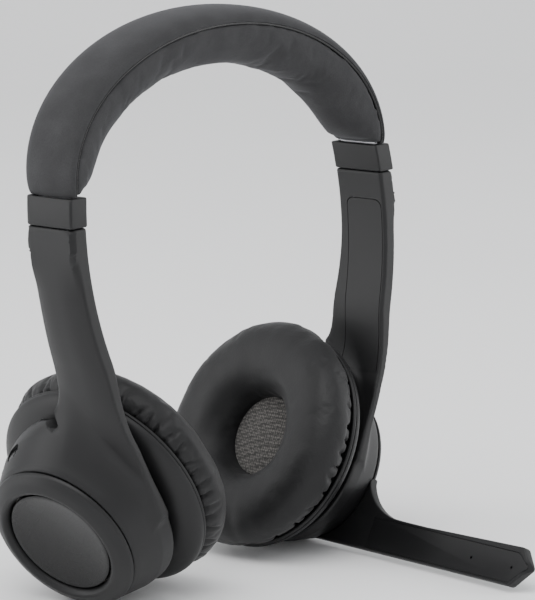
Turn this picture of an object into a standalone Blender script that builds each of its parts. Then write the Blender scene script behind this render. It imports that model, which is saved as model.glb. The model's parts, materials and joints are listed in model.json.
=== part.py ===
"""Wireless on-ear office headset: a padded headband, two sliding arms, two gimballed ear cups
and a swinging microphone boom. Metres, +Z up, the wearer faces -Y, the boom is on the +X side.
The origin is on the underside of the headband pad at its crown, where the head carries it."""

import math

import bmesh
import bpy
from mathutils import Matrix, Vector

MM = 0.001
GAP = 0.3 * MM               # air between touching pieces

# headband
BAND_HALF_SPAN = 64.1 * MM   # seam arch, half its inner width
BAND_RISE = 39.0 * MM        # seam arch, centre to crown
BAND_END_ANGLE = 2.6         # degrees the arch runs on below its widest point
BAND_HALF_WIDTH = 9.3 * MM
BAND_SWELL = 1.4 * MM        # how much wider each side is at the crown
COVER_CROWN = 2.6 * MM       # bulge of the top cover over the seam, at the collars
COVER_SWELL = 2.2 * MM       # how much more it bulges at the crown
PAD_CROWN = 11.3 * MM        # pad thickness under the seam, at the crown
PAD_END = 4.6 * MM           # the same, at the collars
PAD_SHOULDER = 2.8 * MM      # extra thickness between crown and collars
SPRING_HALF_WIDTH = 6.5 * MM
SPRING_THICK = 1.0 * MM
CABLE_HALF_WIDTH = 1.6 * MM
CABLE_THICK = 0.6 * MM

# collars and sliders
COLLAR_HEIGHT = 8.0 * MM
COLLAR_SLOT = 4.0 * MM       # across the slot that grips spring and blade
BLADE_WIDTH = 10.0 * MM
BLADE_THICK = 1.2 * MM
BLADE_BELOW = 36.0 * MM      # blade length inside the arm when closed
BLADE_ABOVE = 4.2 * MM       # blade length gripped by the collar
BLADE_NOTCHES = 9
NOTCH_DEEP = 0.6 * MM
SLIDE_TILT = 5.4             # degrees, blade against the vertical
BUSH_WALL = 1.0 * MM
BUSH_HEIGHT = 6.0 * MM

# arms
SWEEP = 6.0                  # degrees band and arms run forward on their way down
ARM_HALF_WIDTH = 8.9 * MM
ARM_HALF_THICK = 3.4 * MM
ARM_RADIUS = 97.0 * MM       # bend of the arm, seen from the front
ARM_WIDEST_DROP = 15.6 * MM  # collar's top to the arm's widest point
ARM_WIDEST_X = 64.6 * MM
ARM_FLARE = 2.6 * MM         # how much the rear edge spreads on the way down
INNER_COVER_HALF_WIDTH = 7.6 * MM
INNER_COVER_THICK = 1.1 * MM
INNER_COVER_DROP = 8.5 * MM  # arm's top edge to the cover's top edge
ARM_LIFT = 1.8 * MM          # how far the arm draws outward on its way down to the housing
ROOT_FACE_N = -11.4 * MM     # arm's outer face where it meets the housing

# ear cups: u points to the rear, v up and n out of the ear, from the cup's centre
CUP_TILT = 26.3              # degrees the cup's axis points down
CUP_TOE = 6.5                # degrees the cup's axis points forward
CUP_BACK = 6.7 * MM          # cup's centre behind the origin
CUP_DROP = 128.2 * MM        # cup's centre below the origin
CUP_HALF_SPAN = 54.9 * MM
RING_R = 23.2 * MM           # circular seam of the outer ring
RING_HIGH = 3.9 * MM
LIP_R = 18.0 * MM
CAP_R = 16.4 * MM
CAP_DISH = 1.3 * MM
HOUSING_R = 27.6 * MM        # housing's open mouth
HOUSING_DEEP = 14.2 * MM
WALL = 1.8 * MM
FRONT_WALL = 2.0 * MM
WASHER_THICK = 0.7 * MM

# gimbal
GIMBAL_N = -10.0 * MM        # where both tilt axes cross the cup's axis
GIMBAL_R = 20.4 * MM
GIMBAL_WIDE = 2.4 * MM
GIMBAL_HIGH = 3.0 * MM
PIN_R = 0.9 * MM
PIN_CLEARANCE = 0.08 * MM
LUG_WIDE = 4.6 * MM

# ear modules
MODULE_LIFT = 1.3 * MM       # module's axis above the housing's
SHELL_R = 33.0 * MM
SHELL_WALL = 1.5 * MM
SHELL_BACK_N = -14.6 * MM
SHELL_MOUTH_N = -21.4 * MM
BAFFLE_THICK = 1.2 * MM
BAFFLE_HOLE_R = 12.5 * MM
RIM_WIDE = 1.8 * MM
CUSHION_R = 34.0 * MM
CUSHION_HOLE_R = 12.4 * MM
CUSHION_THICK = 12.8 * MM
CREST_HALF_WIDTH = 2.0 * MM
DRIVER_R = 15.5 * MM
DRIVER_DEEP = 3.6 * MM
SCRIM_THICK = 0.8 * MM

# boom
BOOM_DROP = 0.0              # degrees the boom points down, ready to talk
BOOM_REACH = 95.3 * MM
BOOM_HALF_WIDTH = 5.5 * MM
BOOM_LOW = 22.1 * MM         # boom's lower edge below the pivot
BOOM_IN_N = -1.6 * MM
BOOM_OUT_N = 1.3 * MM
BOOM_COVER_THICK = 0.9 * MM
BOOM_COVER_INSET = 1.1 * MM
MIC_R = 1.5 * MM
MIC_HOLE_R = 0.5 * MM
MIC_PLACES = (-72.5 * MM, -88.5 * MM)

# electronics and controls in the right cup's rear wall
BOARD_R = 15.4 * MM
BOARD_THICK = 1.0 * MM
BATTERY_SIZE = (26.0 * MM, 20.0 * MM, 3.6 * MM)
BUTTON_PROUD = 0.7 * MM
BUTTON_DEEP = 2.4 * MM
CONTROL_N = -7.6 * MM
VOLUME_UP_ANGLE = 56.0
CALL_ANGLE = 38.0
VOLUME_DOWN_ANGLE = 20.0
POWER_ANGLE = -21.0
LIGHT_ANGLE = -37.0
SOCKET_ANGLE = -57.0
POWER_TRAVEL = 2.0 * MM
SOCKET_SIZE = (9.4 * MM, 3.6 * MM, 4.2 * MM)
SOCKET_WALL = 0.5 * MM
LIGHT_R = 0.8 * MM

ARM_SIDES = 20
ROUND = 28                   # sides of a visible round piece
SMALL = 20                   # sides of a small or hidden one
EDGE = 0.4 * MM              # softened edges

TORN_BY_EXACT = ("arm_shell", "boom_arm")   # shapes with thin slivers, where the exact solver tears
PI = math.pi
SIDES = {"right": -1, "left": 1}
MATERIALS = {
    "band_fabric": (0.060, 0.060, 0.062, 0.95, 0.0),
    "satin_plastic": (0.030, 0.030, 0.032, 0.45, 0.0),
    "gloss_plastic": (0.018, 0.018, 0.020, 0.25, 0.0),
    "leatherette": (0.022, 0.022, 0.024, 0.60, 0.0),
    "scrim_mesh": (0.090, 0.088, 0.085, 0.95, 0.0),
    "spring_steel": (0.60, 0.60, 0.61, 0.35, 1.0),
    "white_metal": (0.65, 0.65, 0.64, 0.40, 1.0),
    "board": (0.020, 0.070, 0.035, 0.55, 0.0),
    "battery_foil": (0.50, 0.50, 0.52, 0.40, 0.6),
    "light_pipe": (0.80, 0.80, 0.78, 0.30, 0.0),
}


def clear_scene():
    for old in list(bpy.data.objects):
        bpy.data.objects.remove(old, do_unlink=True)


def make_material(name):
    red, green, blue, roughness, metallic = MATERIALS[name]
    material = bpy.data.materials.new(name)
    material.use_nodes = True
    shader = material.node_tree.nodes["Principled BSDF"]
    shader.inputs["Base Color"].default_value = (red, green, blue, 1.0)
    shader.inputs["Roughness"].default_value = roughness
    shader.inputs["Metallic"].default_value = metallic
    return material


# ---------------------------------------------------------------- frames

def cup_axes():
    """The left cup's rearward, upward and outward axes."""
    tilt = math.radians(CUP_TILT)
    toe = math.radians(CUP_TOE)
    outward = Vector((math.cos(tilt) * math.cos(toe), -math.cos(tilt) * math.sin(toe), -math.sin(tilt)))
    rearward = Vector((math.sin(toe), math.cos(toe), 0.0))
    return rearward, outward.cross(rearward), outward


REARWARD, UPWARD, OUTWARD = cup_axes()
CUP_CENTRE = Vector((CUP_HALF_SPAN, CUP_BACK, -CUP_DROP))
BAND_CENTRE_Z = PAD_CROWN - BAND_RISE
COLLAR_TOP_Z = BAND_CENTRE_Z - BAND_RISE * math.sin(math.radians(BAND_END_ANGLE)) - GAP
COLLAR_LOW_Z = COLLAR_TOP_Z - COLLAR_HEIGHT
ARM_TOP_Z = COLLAR_LOW_Z - 0.4 * MM
ARM_WIDEST_Z = COLLAR_TOP_Z - ARM_WIDEST_DROP
ARM_BEND_Z = ARM_WIDEST_Z - ARM_RADIUS * math.sin(math.radians(CUP_TILT))
ARM_LIFT_Z = ARM_WIDEST_Z - 10 * MM
GIMBAL_CENTRE = CUP_CENTRE + OUTWARD * GIMBAL_N
BOOM_CENTRE_V = -BOOM_LOW + BOOM_HALF_WIDTH


def cup_point(u, v, n):
    return CUP_CENTRE + REARWARD * u + UPWARD * v + OUTWARD * n


def boom_point(u, v, n):
    """The boom's own plane: u back along the blade, v across it."""
    turn = math.radians(BOOM_DROP)
    return cup_point(u * math.cos(turn) - v * math.sin(turn), u * math.sin(turn) + v * math.cos(turn), n)


def swept(z):
    """How far forward the plane of band and arms lies at a height."""
    return z * math.tan(math.radians(SWEEP))


def arm_line(z):
    """The arm's middle: a bend in one radius that draws out a little towards the housing."""
    drop = (ARM_WIDEST_Z - z) / ARM_RADIUS
    share = min(max((ARM_LIFT_Z - z) / (ARM_LIFT_Z - ARM_BEND_Z), 0.0), 1.0)
    lift = ARM_LIFT * share * share
    x = ARM_WIDEST_X - ARM_RADIUS * (1 - math.sqrt(1 - drop * drop))
    return Vector((x + lift * OUTWARD.x, swept(z), z))


SLIDE_AXIS = Vector((-math.tan(math.radians(SLIDE_TILT)), -math.tan(math.radians(SWEEP)), -1.0)).normalized()
SLIDE_ACROSS = SLIDE_AXIS.cross(Vector((0.0, 1.0, 0.0))).normalized()
BLADE_FOOT = arm_line(ARM_TOP_Z) + Vector((0.4 * MM, 0.0, 0.0))


def blade_point(width, down, thick):
    """From the blade's middle at the arm's top edge: to the rear, down the blade, outward."""
    return BLADE_FOOT + Vector((0.0, width, 0.0)) + SLIDE_AXIS * down + SLIDE_ACROSS * thick


# ---------------------------------------------------------------- mesh tools

def ring_mesh(rings, closed=False):
    """Skin a row of closed rings, each a list of points; the ends are capped unless it closes."""
    mesh = bmesh.new()
    rows = [[mesh.verts.new(point) for point in ring] for ring in rings]
    count = len(rows[0])
    pairs = list(zip(rows, rows[1:]))
    if closed:
        pairs.append((rows[-1], rows[0]))
    for low, high in pairs:
        for i in range(count):
            j = (i + 1) % count
            mesh.faces.new((low[i], low[j], high[j], high[i]))
    if not closed:
        mesh.faces.new(rows[0])
        mesh.faces.new(list(reversed(rows[-1])))
    return mesh


def turned(profile, sides, place, centre_v=0.0):
    """Turn a closed (radius, n) outline round the cup's axis."""
    solid = all(radius > 0 for radius, _ in profile)
    if solid:
        rings = []
        for k in range(sides):
            turn = 2 * PI * k / sides
            rings.append([place(r * math.cos(turn), centre_v + r * math.sin(turn), n) for r, n in profile])
        return ring_mesh(rings, closed=True)
    mesh = bmesh.new()
    rows = []
    for radius, n in profile:
        if radius <= 0:
            rows.append([mesh.verts.new(place(0.0, centre_v, n))])
            continue
        row = []
        for k in range(sides):
            turn = 2 * PI * k / sides
            row.append(mesh.verts.new(place(radius * math.cos(turn), centre_v + radius * math.sin(turn), n)))
        rows.append(row)
    for low, high in zip(rows, rows[1:]):
        for k in range(sides):
            j = (k + 1) % sides
            if len(low) == 1:
                mesh.faces.new((low[0], high[j], high[k]))
            elif len(high) == 1:
                mesh.faces.new((low[k], low[j], high[0]))
            else:
                mesh.faces.new((low[k], low[j], high[j], high[k]))
    return mesh


def slab(outline, low, high, place):
    """Extrude a flat (a, b) outline from low to high."""
    return ring_mesh([[place(a, b, low) for a, b in outline], [place(a, b, high) for a, b in outline]])


def box(size_a, size_b, low, high, place, centre=(0.0, 0.0)):
    a, b = centre
    half_a, half_b = size_a / 2, size_b / 2
    outline = [(a - half_a, b - half_b), (a + half_a, b - half_b),
               (a + half_a, b + half_b), (a - half_a, b + half_b)]
    return slab(outline, low, high, place)


def rounded(width, height, radius, steps=4):
    """A rectangle outline with round corners, centred on zero."""
    points = []
    for quarter, (a, b) in enumerate(((1, 1), (-1, 1), (-1, -1), (1, -1))):
        for k in range(steps + 1):
            turn = PI / 2 * (quarter + k / steps)
            points.append((a * (width / 2 - radius) + radius * math.cos(turn),
                           b * (height / 2 - radius) + radius * math.sin(turn)))
    return points


def joined(*meshes):
    """Several closed shapes in one mesh, for use as a cutter."""
    whole = bmesh.new()
    for part in meshes:
        scratch = bpy.data.meshes.new("scratch")
        part.to_mesh(scratch)
        whole.from_mesh(scratch)
        bpy.data.meshes.remove(scratch)
        part.free()
    return whole


class Bench:
    """Makes the objects of one side of the headset, mirrored for the right ear."""

    def __init__(self, sign):
        self.sign = sign
        self.bodies = {}

    def body(self, name, pivot):
        pivot = Vector((pivot.x * self.sign, pivot.y, pivot.z))
        empty = bpy.data.objects.new(name, None)
        empty.location = pivot
        bpy.context.collection.objects.link(empty)
        self.bodies[name] = (empty, pivot)

    def object(self, name, mesh, body, material=None):
        empty, pivot = self.bodies[body]
        for vert in mesh.verts:
            vert.co.x *= self.sign
            vert.co -= pivot
        bmesh.ops.recalc_face_normals(mesh, faces=mesh.faces)
        if mesh.calc_volume(signed=True) < 0:
            bmesh.ops.reverse_faces(mesh, faces=mesh.faces)
        data = bpy.data.meshes.new(name)
        mesh.to_mesh(data)
        mesh.free()
        made = bpy.data.objects.new(name, data)
        bpy.context.collection.objects.link(made)
        made.parent = empty
        if material:
            data.materials.append(SHADES[material])
            data.shade_smooth()
            data.set_sharp_from_angle(angle=math.radians(35))
        return made

    def tool(self, name, mesh, body):
        """A hidden shape that cuts or joins."""
        made = self.object(name, mesh, body)
        made.hide_render = True
        made.display_type = "WIRE"
        return made

    def change(self, made, mesh, operation, name):
        body = made.parent.name
        tool = self.tool(name, mesh, body)
        boolean = made.modifiers.new(name, "BOOLEAN")
        boolean.operation = operation
        boolean.solver = "MANIFOLD" if made.name.startswith(TORN_BY_EXACT) else "EXACT"
        boolean.object = tool

    def cut(self, made, mesh, name):
        self.change(made, mesh, "DIFFERENCE", name)

    def join(self, made, mesh, name):
        self.change(made, mesh, "UNION", name)


# ---------------------------------------------------------------- headband

BAND_STATIONS = 27


def band_angles(margin=0.0):
    low = -math.radians(BAND_END_ANGLE) + margin
    high = PI - low
    return [low + (high - low) * k / (BAND_STATIONS - 1) for k in range(BAND_STATIONS)]


def band_point(turn, width, height):
    """On the arch at an angle from the left: across the band, and out from the seam."""
    a = BAND_HALF_SPAN * math.cos(turn)
    c = BAND_RISE * math.sin(turn)
    normal = Vector((a / BAND_HALF_SPAN ** 2, 0.0, c / BAND_RISE ** 2)).normalized()
    point = Vector((a, width, BAND_CENTRE_Z + c)) + normal * height
    return point + Vector((0.0, swept(BAND_CENTRE_Z + c), 0.0))


def band_half_width(turn):
    return BAND_HALF_WIDTH + BAND_SWELL * max(math.sin(turn), 0.0)


def pad_depth(turn):
    rise = max(math.sin(turn), 0.0)
    shoulder = 2.6 * math.sqrt(rise) * (1 - rise)
    return PAD_END + (PAD_CROWN - PAD_END) * rise ** 0.3 + PAD_SHOULDER * shoulder


def cover_section(turn):
    points = []
    for k in range(9):
        swing = PI * k / 8
        bulge = COVER_CROWN + COVER_SWELL * max(math.sin(turn), 0.0)
        across = band_half_width(turn) * math.cos(swing)
        points.append(band_point(turn, across, GAP / 2 + bulge * math.sin(swing)))
    return points


def pad_section(turn):
    """A deep D with a shallow bed for the spring in its flat side."""
    depth = pad_depth(turn) - GAP / 2
    bed = SPRING_HALF_WIDTH + GAP
    floor = -GAP / 2 - SPRING_THICK - CABLE_THICK - 2 * GAP
    points = [band_point(turn, bed, floor), band_point(turn, bed, -GAP / 2)]
    for k in range(11):
        swing = PI * k / 10
        across = band_half_width(turn) * math.copysign(abs(math.cos(swing)) ** 0.75, math.cos(swing))
        points.append(band_point(turn, across, -GAP / 2 - depth * math.sin(swing) ** 0.75))
    points.append(band_point(turn, -bed, -GAP / 2))
    points.append(band_point(turn, -bed, floor))
    return points


def strip_rings(half_width, top, thick, extra):
    """A flat strip along the arch that runs a little way past the pad, straight down."""
    rings = []
    corners = ((-half_width, top - thick), (half_width, top - thick), (half_width, top), (-half_width, top))
    angles = band_angles()
    for turn, drop in [(angles[0], extra)] + [(angle, 0.0) for angle in angles] + [(angles[-1], extra)]:
        rings.append([band_point(turn, w, h) - Vector((0.0, swept(drop), drop)) for w, h in corners])
    return rings


def build_headband(bench):
    for name, section in (("band_cover", cover_section), ("band_pad", pad_section)):
        shape = ring_mesh([section(turn) for turn in band_angles()])
        bench.object(name, shape, "headband", "band_fabric")
    grip = COLLAR_HEIGHT - BLADE_ABOVE - 2 * GAP
    spring_top = -GAP / 2
    bench.object("band_spring", ring_mesh(strip_rings(SPRING_HALF_WIDTH, spring_top, SPRING_THICK, grip)),
                 "headband", "spring_steel")
    cable_top = spring_top - SPRING_THICK - GAP
    bench.object("band_cable", ring_mesh(strip_rings(CABLE_HALF_WIDTH, cable_top, CABLE_THICK, 0.0)),
                 "headband", "gloss_plastic")


def build_collar(bench, side):
    rings = []
    for k in range(4):
        z = COLLAR_TOP_Z + (COLLAR_LOW_Z - COLLAR_TOP_Z) * k / 3
        rings.append(arm_section(arm_line(z), 0.0))
    collar = bench.object("collar_" + side, ring_mesh(rings), "headband", "satin_plastic")
    middle = (BAND_HALF_SPAN + BLADE_FOOT.x) / 2 - 0.1 * MM
    slot = box(COLLAR_SLOT, 2 * SPRING_HALF_WIDTH + 2 * GAP, COLLAR_LOW_Z - MM, COLLAR_TOP_Z + MM,
               lambda a, b, c: Vector((a, b + swept(c), c)), (middle, 0.0))
    bench.cut(collar, slot, "collar_slot_" + side)


def blade_outline():
    """Half-width against length, with detent notches along both edges."""
    half = BLADE_WIDTH / 2
    pitch = (BLADE_BELOW - 8 * MM) / BLADE_NOTCHES
    edge = [(half, -BLADE_ABOVE)]
    for k in range(BLADE_NOTCHES):
        start = 4 * MM + pitch * k
        edge += [(half, start), (half - NOTCH_DEEP, start + 0.4 * pitch), (half, start + 0.8 * pitch)]
    edge += [(half, BLADE_BELOW - MM), (half - MM, BLADE_BELOW)]
    return edge + [(-a, b) for a, b in reversed(edge)]


def build_blade(bench, side):
    blade = slab(blade_outline(), -BLADE_THICK / 2, BLADE_THICK / 2, blade_point)
    bench.object("slider_blade_" + side, blade, "headband", "spring_steel")


# ---------------------------------------------------------------- arms

def arm_flare(z):
    """Nothing for the first third of the arm, then growing towards the housing."""
    share = max((ARM_TOP_Z - z) / (ARM_TOP_Z - ARM_BEND_Z) - 0.33, 0.0) / 0.67
    return ARM_FLARE * share * share


def arm_section(centre, lean):
    """A flattened D across the arm: flatter outside, rounder inside."""
    out = Vector((math.cos(lean), 0.0, -math.sin(lean)))
    points = []
    for k in range(ARM_SIDES):
        turn = 2 * PI * k / ARM_SIDES
        c, s = math.cos(turn), math.sin(turn)
        power = 2 / 3.2 if s > 0 else 2 / 2.4
        rear_edge = ARM_HALF_WIDTH + (arm_flare(centre.z) if c > 0 else 0.0)
        width = rear_edge * math.copysign(abs(c) ** power, c)
        thick = ARM_HALF_THICK * math.copysign(abs(s) ** power, s)
        points.append(centre + Vector((0.0, width, 0.0)) + out * thick)
    return points


def arm_lean(z):
    return math.asin((ARM_WIDEST_Z - z) / ARM_RADIUS)


def bend_stations(top_z, count):
    return [top_z + (ARM_BEND_Z - top_z) * k / (count - 1) for k in range(count)]


def arm_u(v, n, across):
    """Where the swept arm's line, this far from its middle, crosses the cup's plane."""
    z = -CUP_DROP + v * UPWARD.z + n * OUTWARD.z
    return (swept(z) + across - CUP_BACK - v * UPWARD.y - n * OUTWARD.y) / REARWARD.y


def root_station(v, flare, inner, outer_front, outer_rear):
    """Where the arm spreads into the housing: its rear edge flares and its outside rises."""
    front = max(arm_u(v, inner, -ARM_HALF_WIDTH), -HOUSING_R - 0.2 * MM)
    rear = arm_u(v, inner, ARM_HALF_WIDTH) + flare
    points = []
    for k in range(ARM_SIDES):
        turn = 2 * PI * k / ARM_SIDES
        c, s = math.cos(turn), math.sin(turn)
        power = 2 / 3.2 if s > 0 else 2 / 2.4
        across = math.copysign(abs(c) ** power, c)
        outer = outer_front + (outer_rear - outer_front) * (1 + across) / 2
        u = (front + rear) / 2 + (rear - front) / 2 * across
        n = (inner + outer) / 2 + (outer - inner) / 2 * math.copysign(abs(s) ** power, s)
        points.append(cup_point(u, v, n))
    return points


def arm_root_sections():
    """Front edge straight down to the cup's front, rear edge sweeping out over the cup's top."""
    mouth = -HOUSING_DEEP + GAP
    face = ROOT_FACE_N
    return [
        root_station(HOUSING_R + 6.5 * MM, ARM_FLARE + 0.9 * MM, mouth - 2.7 * MM, face, face + 0.2 * MM),
        root_station(HOUSING_R + 3.0 * MM, 6.0 * MM, mouth - 1.2 * MM, face, face + 0.8 * MM),
        root_station(HOUSING_R, 10.0 * MM, mouth, face, face + 2.6 * MM),
        root_station(HOUSING_R - 2.6 * MM, 14.0 * MM, mouth, face, face + 5.8 * MM),
        root_station(HOUSING_R - 7.6 * MM, 14.0 * MM, mouth, face, face + 7.5 * MM),
        root_station(HOUSING_R - 15.6 * MM, 9.0 * MM, mouth, face, face + 7.0 * MM),
        root_station(2.0 * MM, 2.0 * MM, mouth, face, face + 4.0 * MM),
    ]


def arm_sections():
    rings = []
    for z in bend_stations(ARM_TOP_Z, 9):
        rings.append(arm_section(arm_line(z), arm_lean(z)))
    return rings + arm_root_sections()


def inner_face(width):
    share = min(abs(width) / ARM_HALF_WIDTH, 1.0)
    return ARM_HALF_THICK * (1 - share ** 2.4) ** (1 / 2.4)


def inner_cover_rings(half_width, proud, thick, top_z, low_z):
    """A curved plate that follows the arm's inner face."""
    rings = []
    for k in range(8):
        z = top_z + (low_z - top_z) * k / 7
        lean = arm_lean(z)
        out = Vector((math.cos(lean), 0.0, -math.sin(lean)))
        centre = arm_line(z)
        widths = [half_width * (j / 4 - 1) for j in range(9)]
        ring = [centre + Vector((0.0, w, 0.0)) - out * (inner_face(w) + proud) for w in widths]
        ring += [centre + Vector((0.0, w, 0.0)) - out * (inner_face(w) - thick) for w in reversed(widths)]
        rings.append(ring)
    return rings


def housing_profile():
    return [
        (0.0, -FRONT_WALL - 4 * MM), (HOUSING_R - 3 * MM, -HOUSING_DEEP), (HOUSING_R - EDGE, -HOUSING_DEEP),
        (HOUSING_R, -HOUSING_DEEP + EDGE), (HOUSING_R - 0.5 * MM, -HOUSING_DEEP + 3 * MM),
        (RING_R + 0.6 * MM, -1.6 * MM), (RING_R, -0.1 * MM), (RING_R - EDGE, 0.0),
        (RING_R - EDGE, -WASHER_THICK - GAP), (CAP_R + 0.2 * MM, -WASHER_THICK - GAP),
        (CAP_R + 0.2 * MM, 0.0), (0.0, 0.0),
    ]


def housing_inner_r(n):
    """The cavity's radius at a depth."""
    share = min(max((-FRONT_WALL - n) / (HOUSING_DEEP - FRONT_WALL), 0.0), 1.0)
    return RING_R - WALL + (HOUSING_R - RING_R) * share


def cavity_profile():
    return [
        (0.0, -HOUSING_DEEP - 8 * MM), (housing_inner_r(-HOUSING_DEEP), -HOUSING_DEEP - 8 * MM),
        (housing_inner_r(-HOUSING_DEEP), -HOUSING_DEEP),
        (housing_inner_r(-FRONT_WALL - MM), -FRONT_WALL - MM),
        (housing_inner_r(-FRONT_WALL) - MM, -FRONT_WALL), (0.0, -FRONT_WALL),
    ]


def lug_point(sign):
    """A frame along the tilt axis: across, along the cup's axis, and outwards."""
    return lambda a, b, c: cup_point(sign * c, a, GIMBAL_N + b)


def build_arm(bench, side, body):
    housing = turned(housing_profile(), ROUND, cup_point)
    shell = bench.object("arm_shell_" + side, housing, body, "satin_plastic")
    bench.join(shell, ring_mesh(arm_sections()), "arm_limb_" + side)
    bench.cut(shell, turned(cavity_profile(), ROUND, cup_point), "housing_hollow_" + side)
    for name, sign in (("front", -1), ("rear", 1)):
        reach = housing_inner_r(GIMBAL_N) + 0.8 * MM
        lug = box(LUG_WIDE, LUG_WIDE, GIMBAL_R + 0.6 * MM, reach, lug_point(sign))
        bench.join(shell, lug, "gimbal_lug_" + name + "_" + side)
    hole = circle(PIN_R + PIN_CLEARANCE, 16)
    bore = joined(*[slab(hole, GIMBAL_R - MM, GIMBAL_R + 3.2 * MM, lug_point(sign)) for sign in (-1, 1)])
    bench.cut(shell, bore, "gimbal_bores_" + side)
    slot_half = BLADE_THICK / 2 + GAP
    slot = box(BLADE_WIDTH + 2 * GAP, BLADE_BELOW + 3 * MM, -slot_half, slot_half,
               lambda a, b, c: blade_point(a, b, c), (0.0, (BLADE_BELOW + MM) / 2))
    pocket = box(BLADE_WIDTH + 2 * (BUSH_WALL + GAP) + 0.6 * MM, BUSH_HEIGHT + GAP + 2 * MM,
                 -slot_half - BUSH_WALL - GAP, slot_half + BUSH_WALL + GAP,
                 lambda a, b, c: blade_point(a, b, c), (0.0, (BUSH_HEIGHT + GAP) / 2 - MM))
    bench.cut(shell, slot, "blade_slot_" + side)
    bench.cut(shell, pocket, "bush_pocket_" + side)
    top_z = ARM_TOP_Z - INNER_COVER_DROP
    low_z = ARM_BEND_Z + 1.5 * MM
    recess = inner_cover_rings(INNER_COVER_HALF_WIDTH + GAP, 1.0 * MM, INNER_COVER_THICK + GAP,
                               top_z + GAP, low_z - GAP)
    bench.cut(shell, ring_mesh(recess), "inner_cover_bed_" + side)
    plate = inner_cover_rings(INNER_COVER_HALF_WIDTH, 0.0, INNER_COVER_THICK, top_z, low_z)
    bench.object("arm_inner_cover_" + side, ring_mesh(plate), body, "satin_plastic")
    return shell


def circle(radius, sides):
    turns = [2 * PI * k / sides for k in range(sides)]
    return [(radius * math.cos(turn), radius * math.sin(turn)) for turn in turns]


def build_bush(bench, side, body):
    """The sleeve at the arm's top that grips the blade."""
    half = BLADE_THICK / 2
    outer = rounded(BLADE_WIDTH + 2 * BUSH_WALL + 0.6 * MM, BLADE_THICK + 2 * BUSH_WALL, 0.5 * MM, 2)
    lay = lambda a, b, c: blade_point(a, c, b)
    bush = bench.object("slider_bush_" + side, slab(outer, GAP, BUSH_HEIGHT, lay), body, "gloss_plastic")
    bench.cut(bush, slab(rounded(BLADE_WIDTH + 0.16 * MM, 2 * half + 0.16 * MM, 0.1 * MM, 1), -MM,
                         BUSH_HEIGHT + MM, lay), "bush_slot_" + side)


# ---------------------------------------------------------------- cup fronts

def ring_profile():
    return [
        (CAP_R + 0.5 * MM, GAP), (RING_R - 0.2 * MM, GAP), (RING_R, GAP + 0.3 * MM),
        (RING_R - 0.3 * MM, 1.4 * MM),
        (RING_R - 2.2 * MM, 3.0 * MM), (LIP_R + 1.2 * MM, RING_HIGH), (LIP_R, RING_HIGH),
        (LIP_R - 0.8 * MM, RING_HIGH - 0.5 * MM), (CAP_R + 0.5 * MM, 1.6 * MM),
    ]


def build_cup_front(bench, side, body):
    edge = RING_HIGH - 2.0 * MM
    cap = [(0.0, GAP), (CAP_R, GAP), (CAP_R, edge - EDGE), (CAP_R - EDGE, edge), (CAP_R - 1.2 * MM, edge)]
    for k in range(1, 5):
        share = 1 - k / 4
        cap.append((max((CAP_R - 1.2 * MM) * share, 0.0), edge - CAP_DISH * (1 - share ** 2.4)))
    bench.object("cup_cap_" + side, turned(cap, ROUND, cup_point), body, "gloss_plastic")
    washer = [(CAP_R + 0.5 * MM, -WASHER_THICK), (RING_R - 1.2 * MM, -WASHER_THICK), (RING_R - 1.2 * MM, 0.0),
              (CAP_R + 0.5 * MM, 0.0)]
    bench.object("ring_washer_" + side, turned(washer, ROUND, cup_point), body, "white_metal")


# ---------------------------------------------------------------- gimbal and ear module

def module_point(u, v, n):
    return cup_point(u, v + MODULE_LIFT, n)


def build_gimbal(bench, side, body):
    low = GIMBAL_N - GIMBAL_HIGH / 2
    high = GIMBAL_N + GIMBAL_HIGH / 2
    bore_r = GIMBAL_R - GIMBAL_WIDE
    profile = [(bore_r, low), (GIMBAL_R, low), (GIMBAL_R, high), (bore_r, high)]
    ring = bench.object("gimbal_ring_" + side, turned(profile, SMALL, cup_point), body, "white_metal")
    for name, sign in (("front", -1), ("rear", 1)):
        pin = slab(circle(PIN_R, 12), GIMBAL_R - MM, GIMBAL_R + 2.6 * MM, lug_point(sign))
        bench.join(ring, pin, "gimbal_pin_" + name + "_" + side)
    bores = joined(*[slab(circle(PIN_R + PIN_CLEARANCE, 16), GIMBAL_R - GIMBAL_WIDE - MM, GIMBAL_R + MM,
                          post_point(sign)) for sign in (-1, 1)])
    bench.cut(ring, bores, "gimbal_ring_bores_" + side)


def post_point(sign):
    return lambda a, b, c: cup_point(a, sign * c, GIMBAL_N + b)


def shell_outer():
    return [
        (0.0, SHELL_BACK_N), (14 * MM, SHELL_BACK_N - 0.2 * MM), (22 * MM, SHELL_BACK_N - 1.0 * MM),
        (HOUSING_R, SHELL_BACK_N - 2.5 * MM), (SHELL_R - 1.8 * MM, SHELL_BACK_N - 4.4 * MM),
        (SHELL_R - 0.3 * MM, SHELL_MOUTH_N + 0.9 * MM), (SHELL_R, SHELL_MOUTH_N),
    ]


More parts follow.
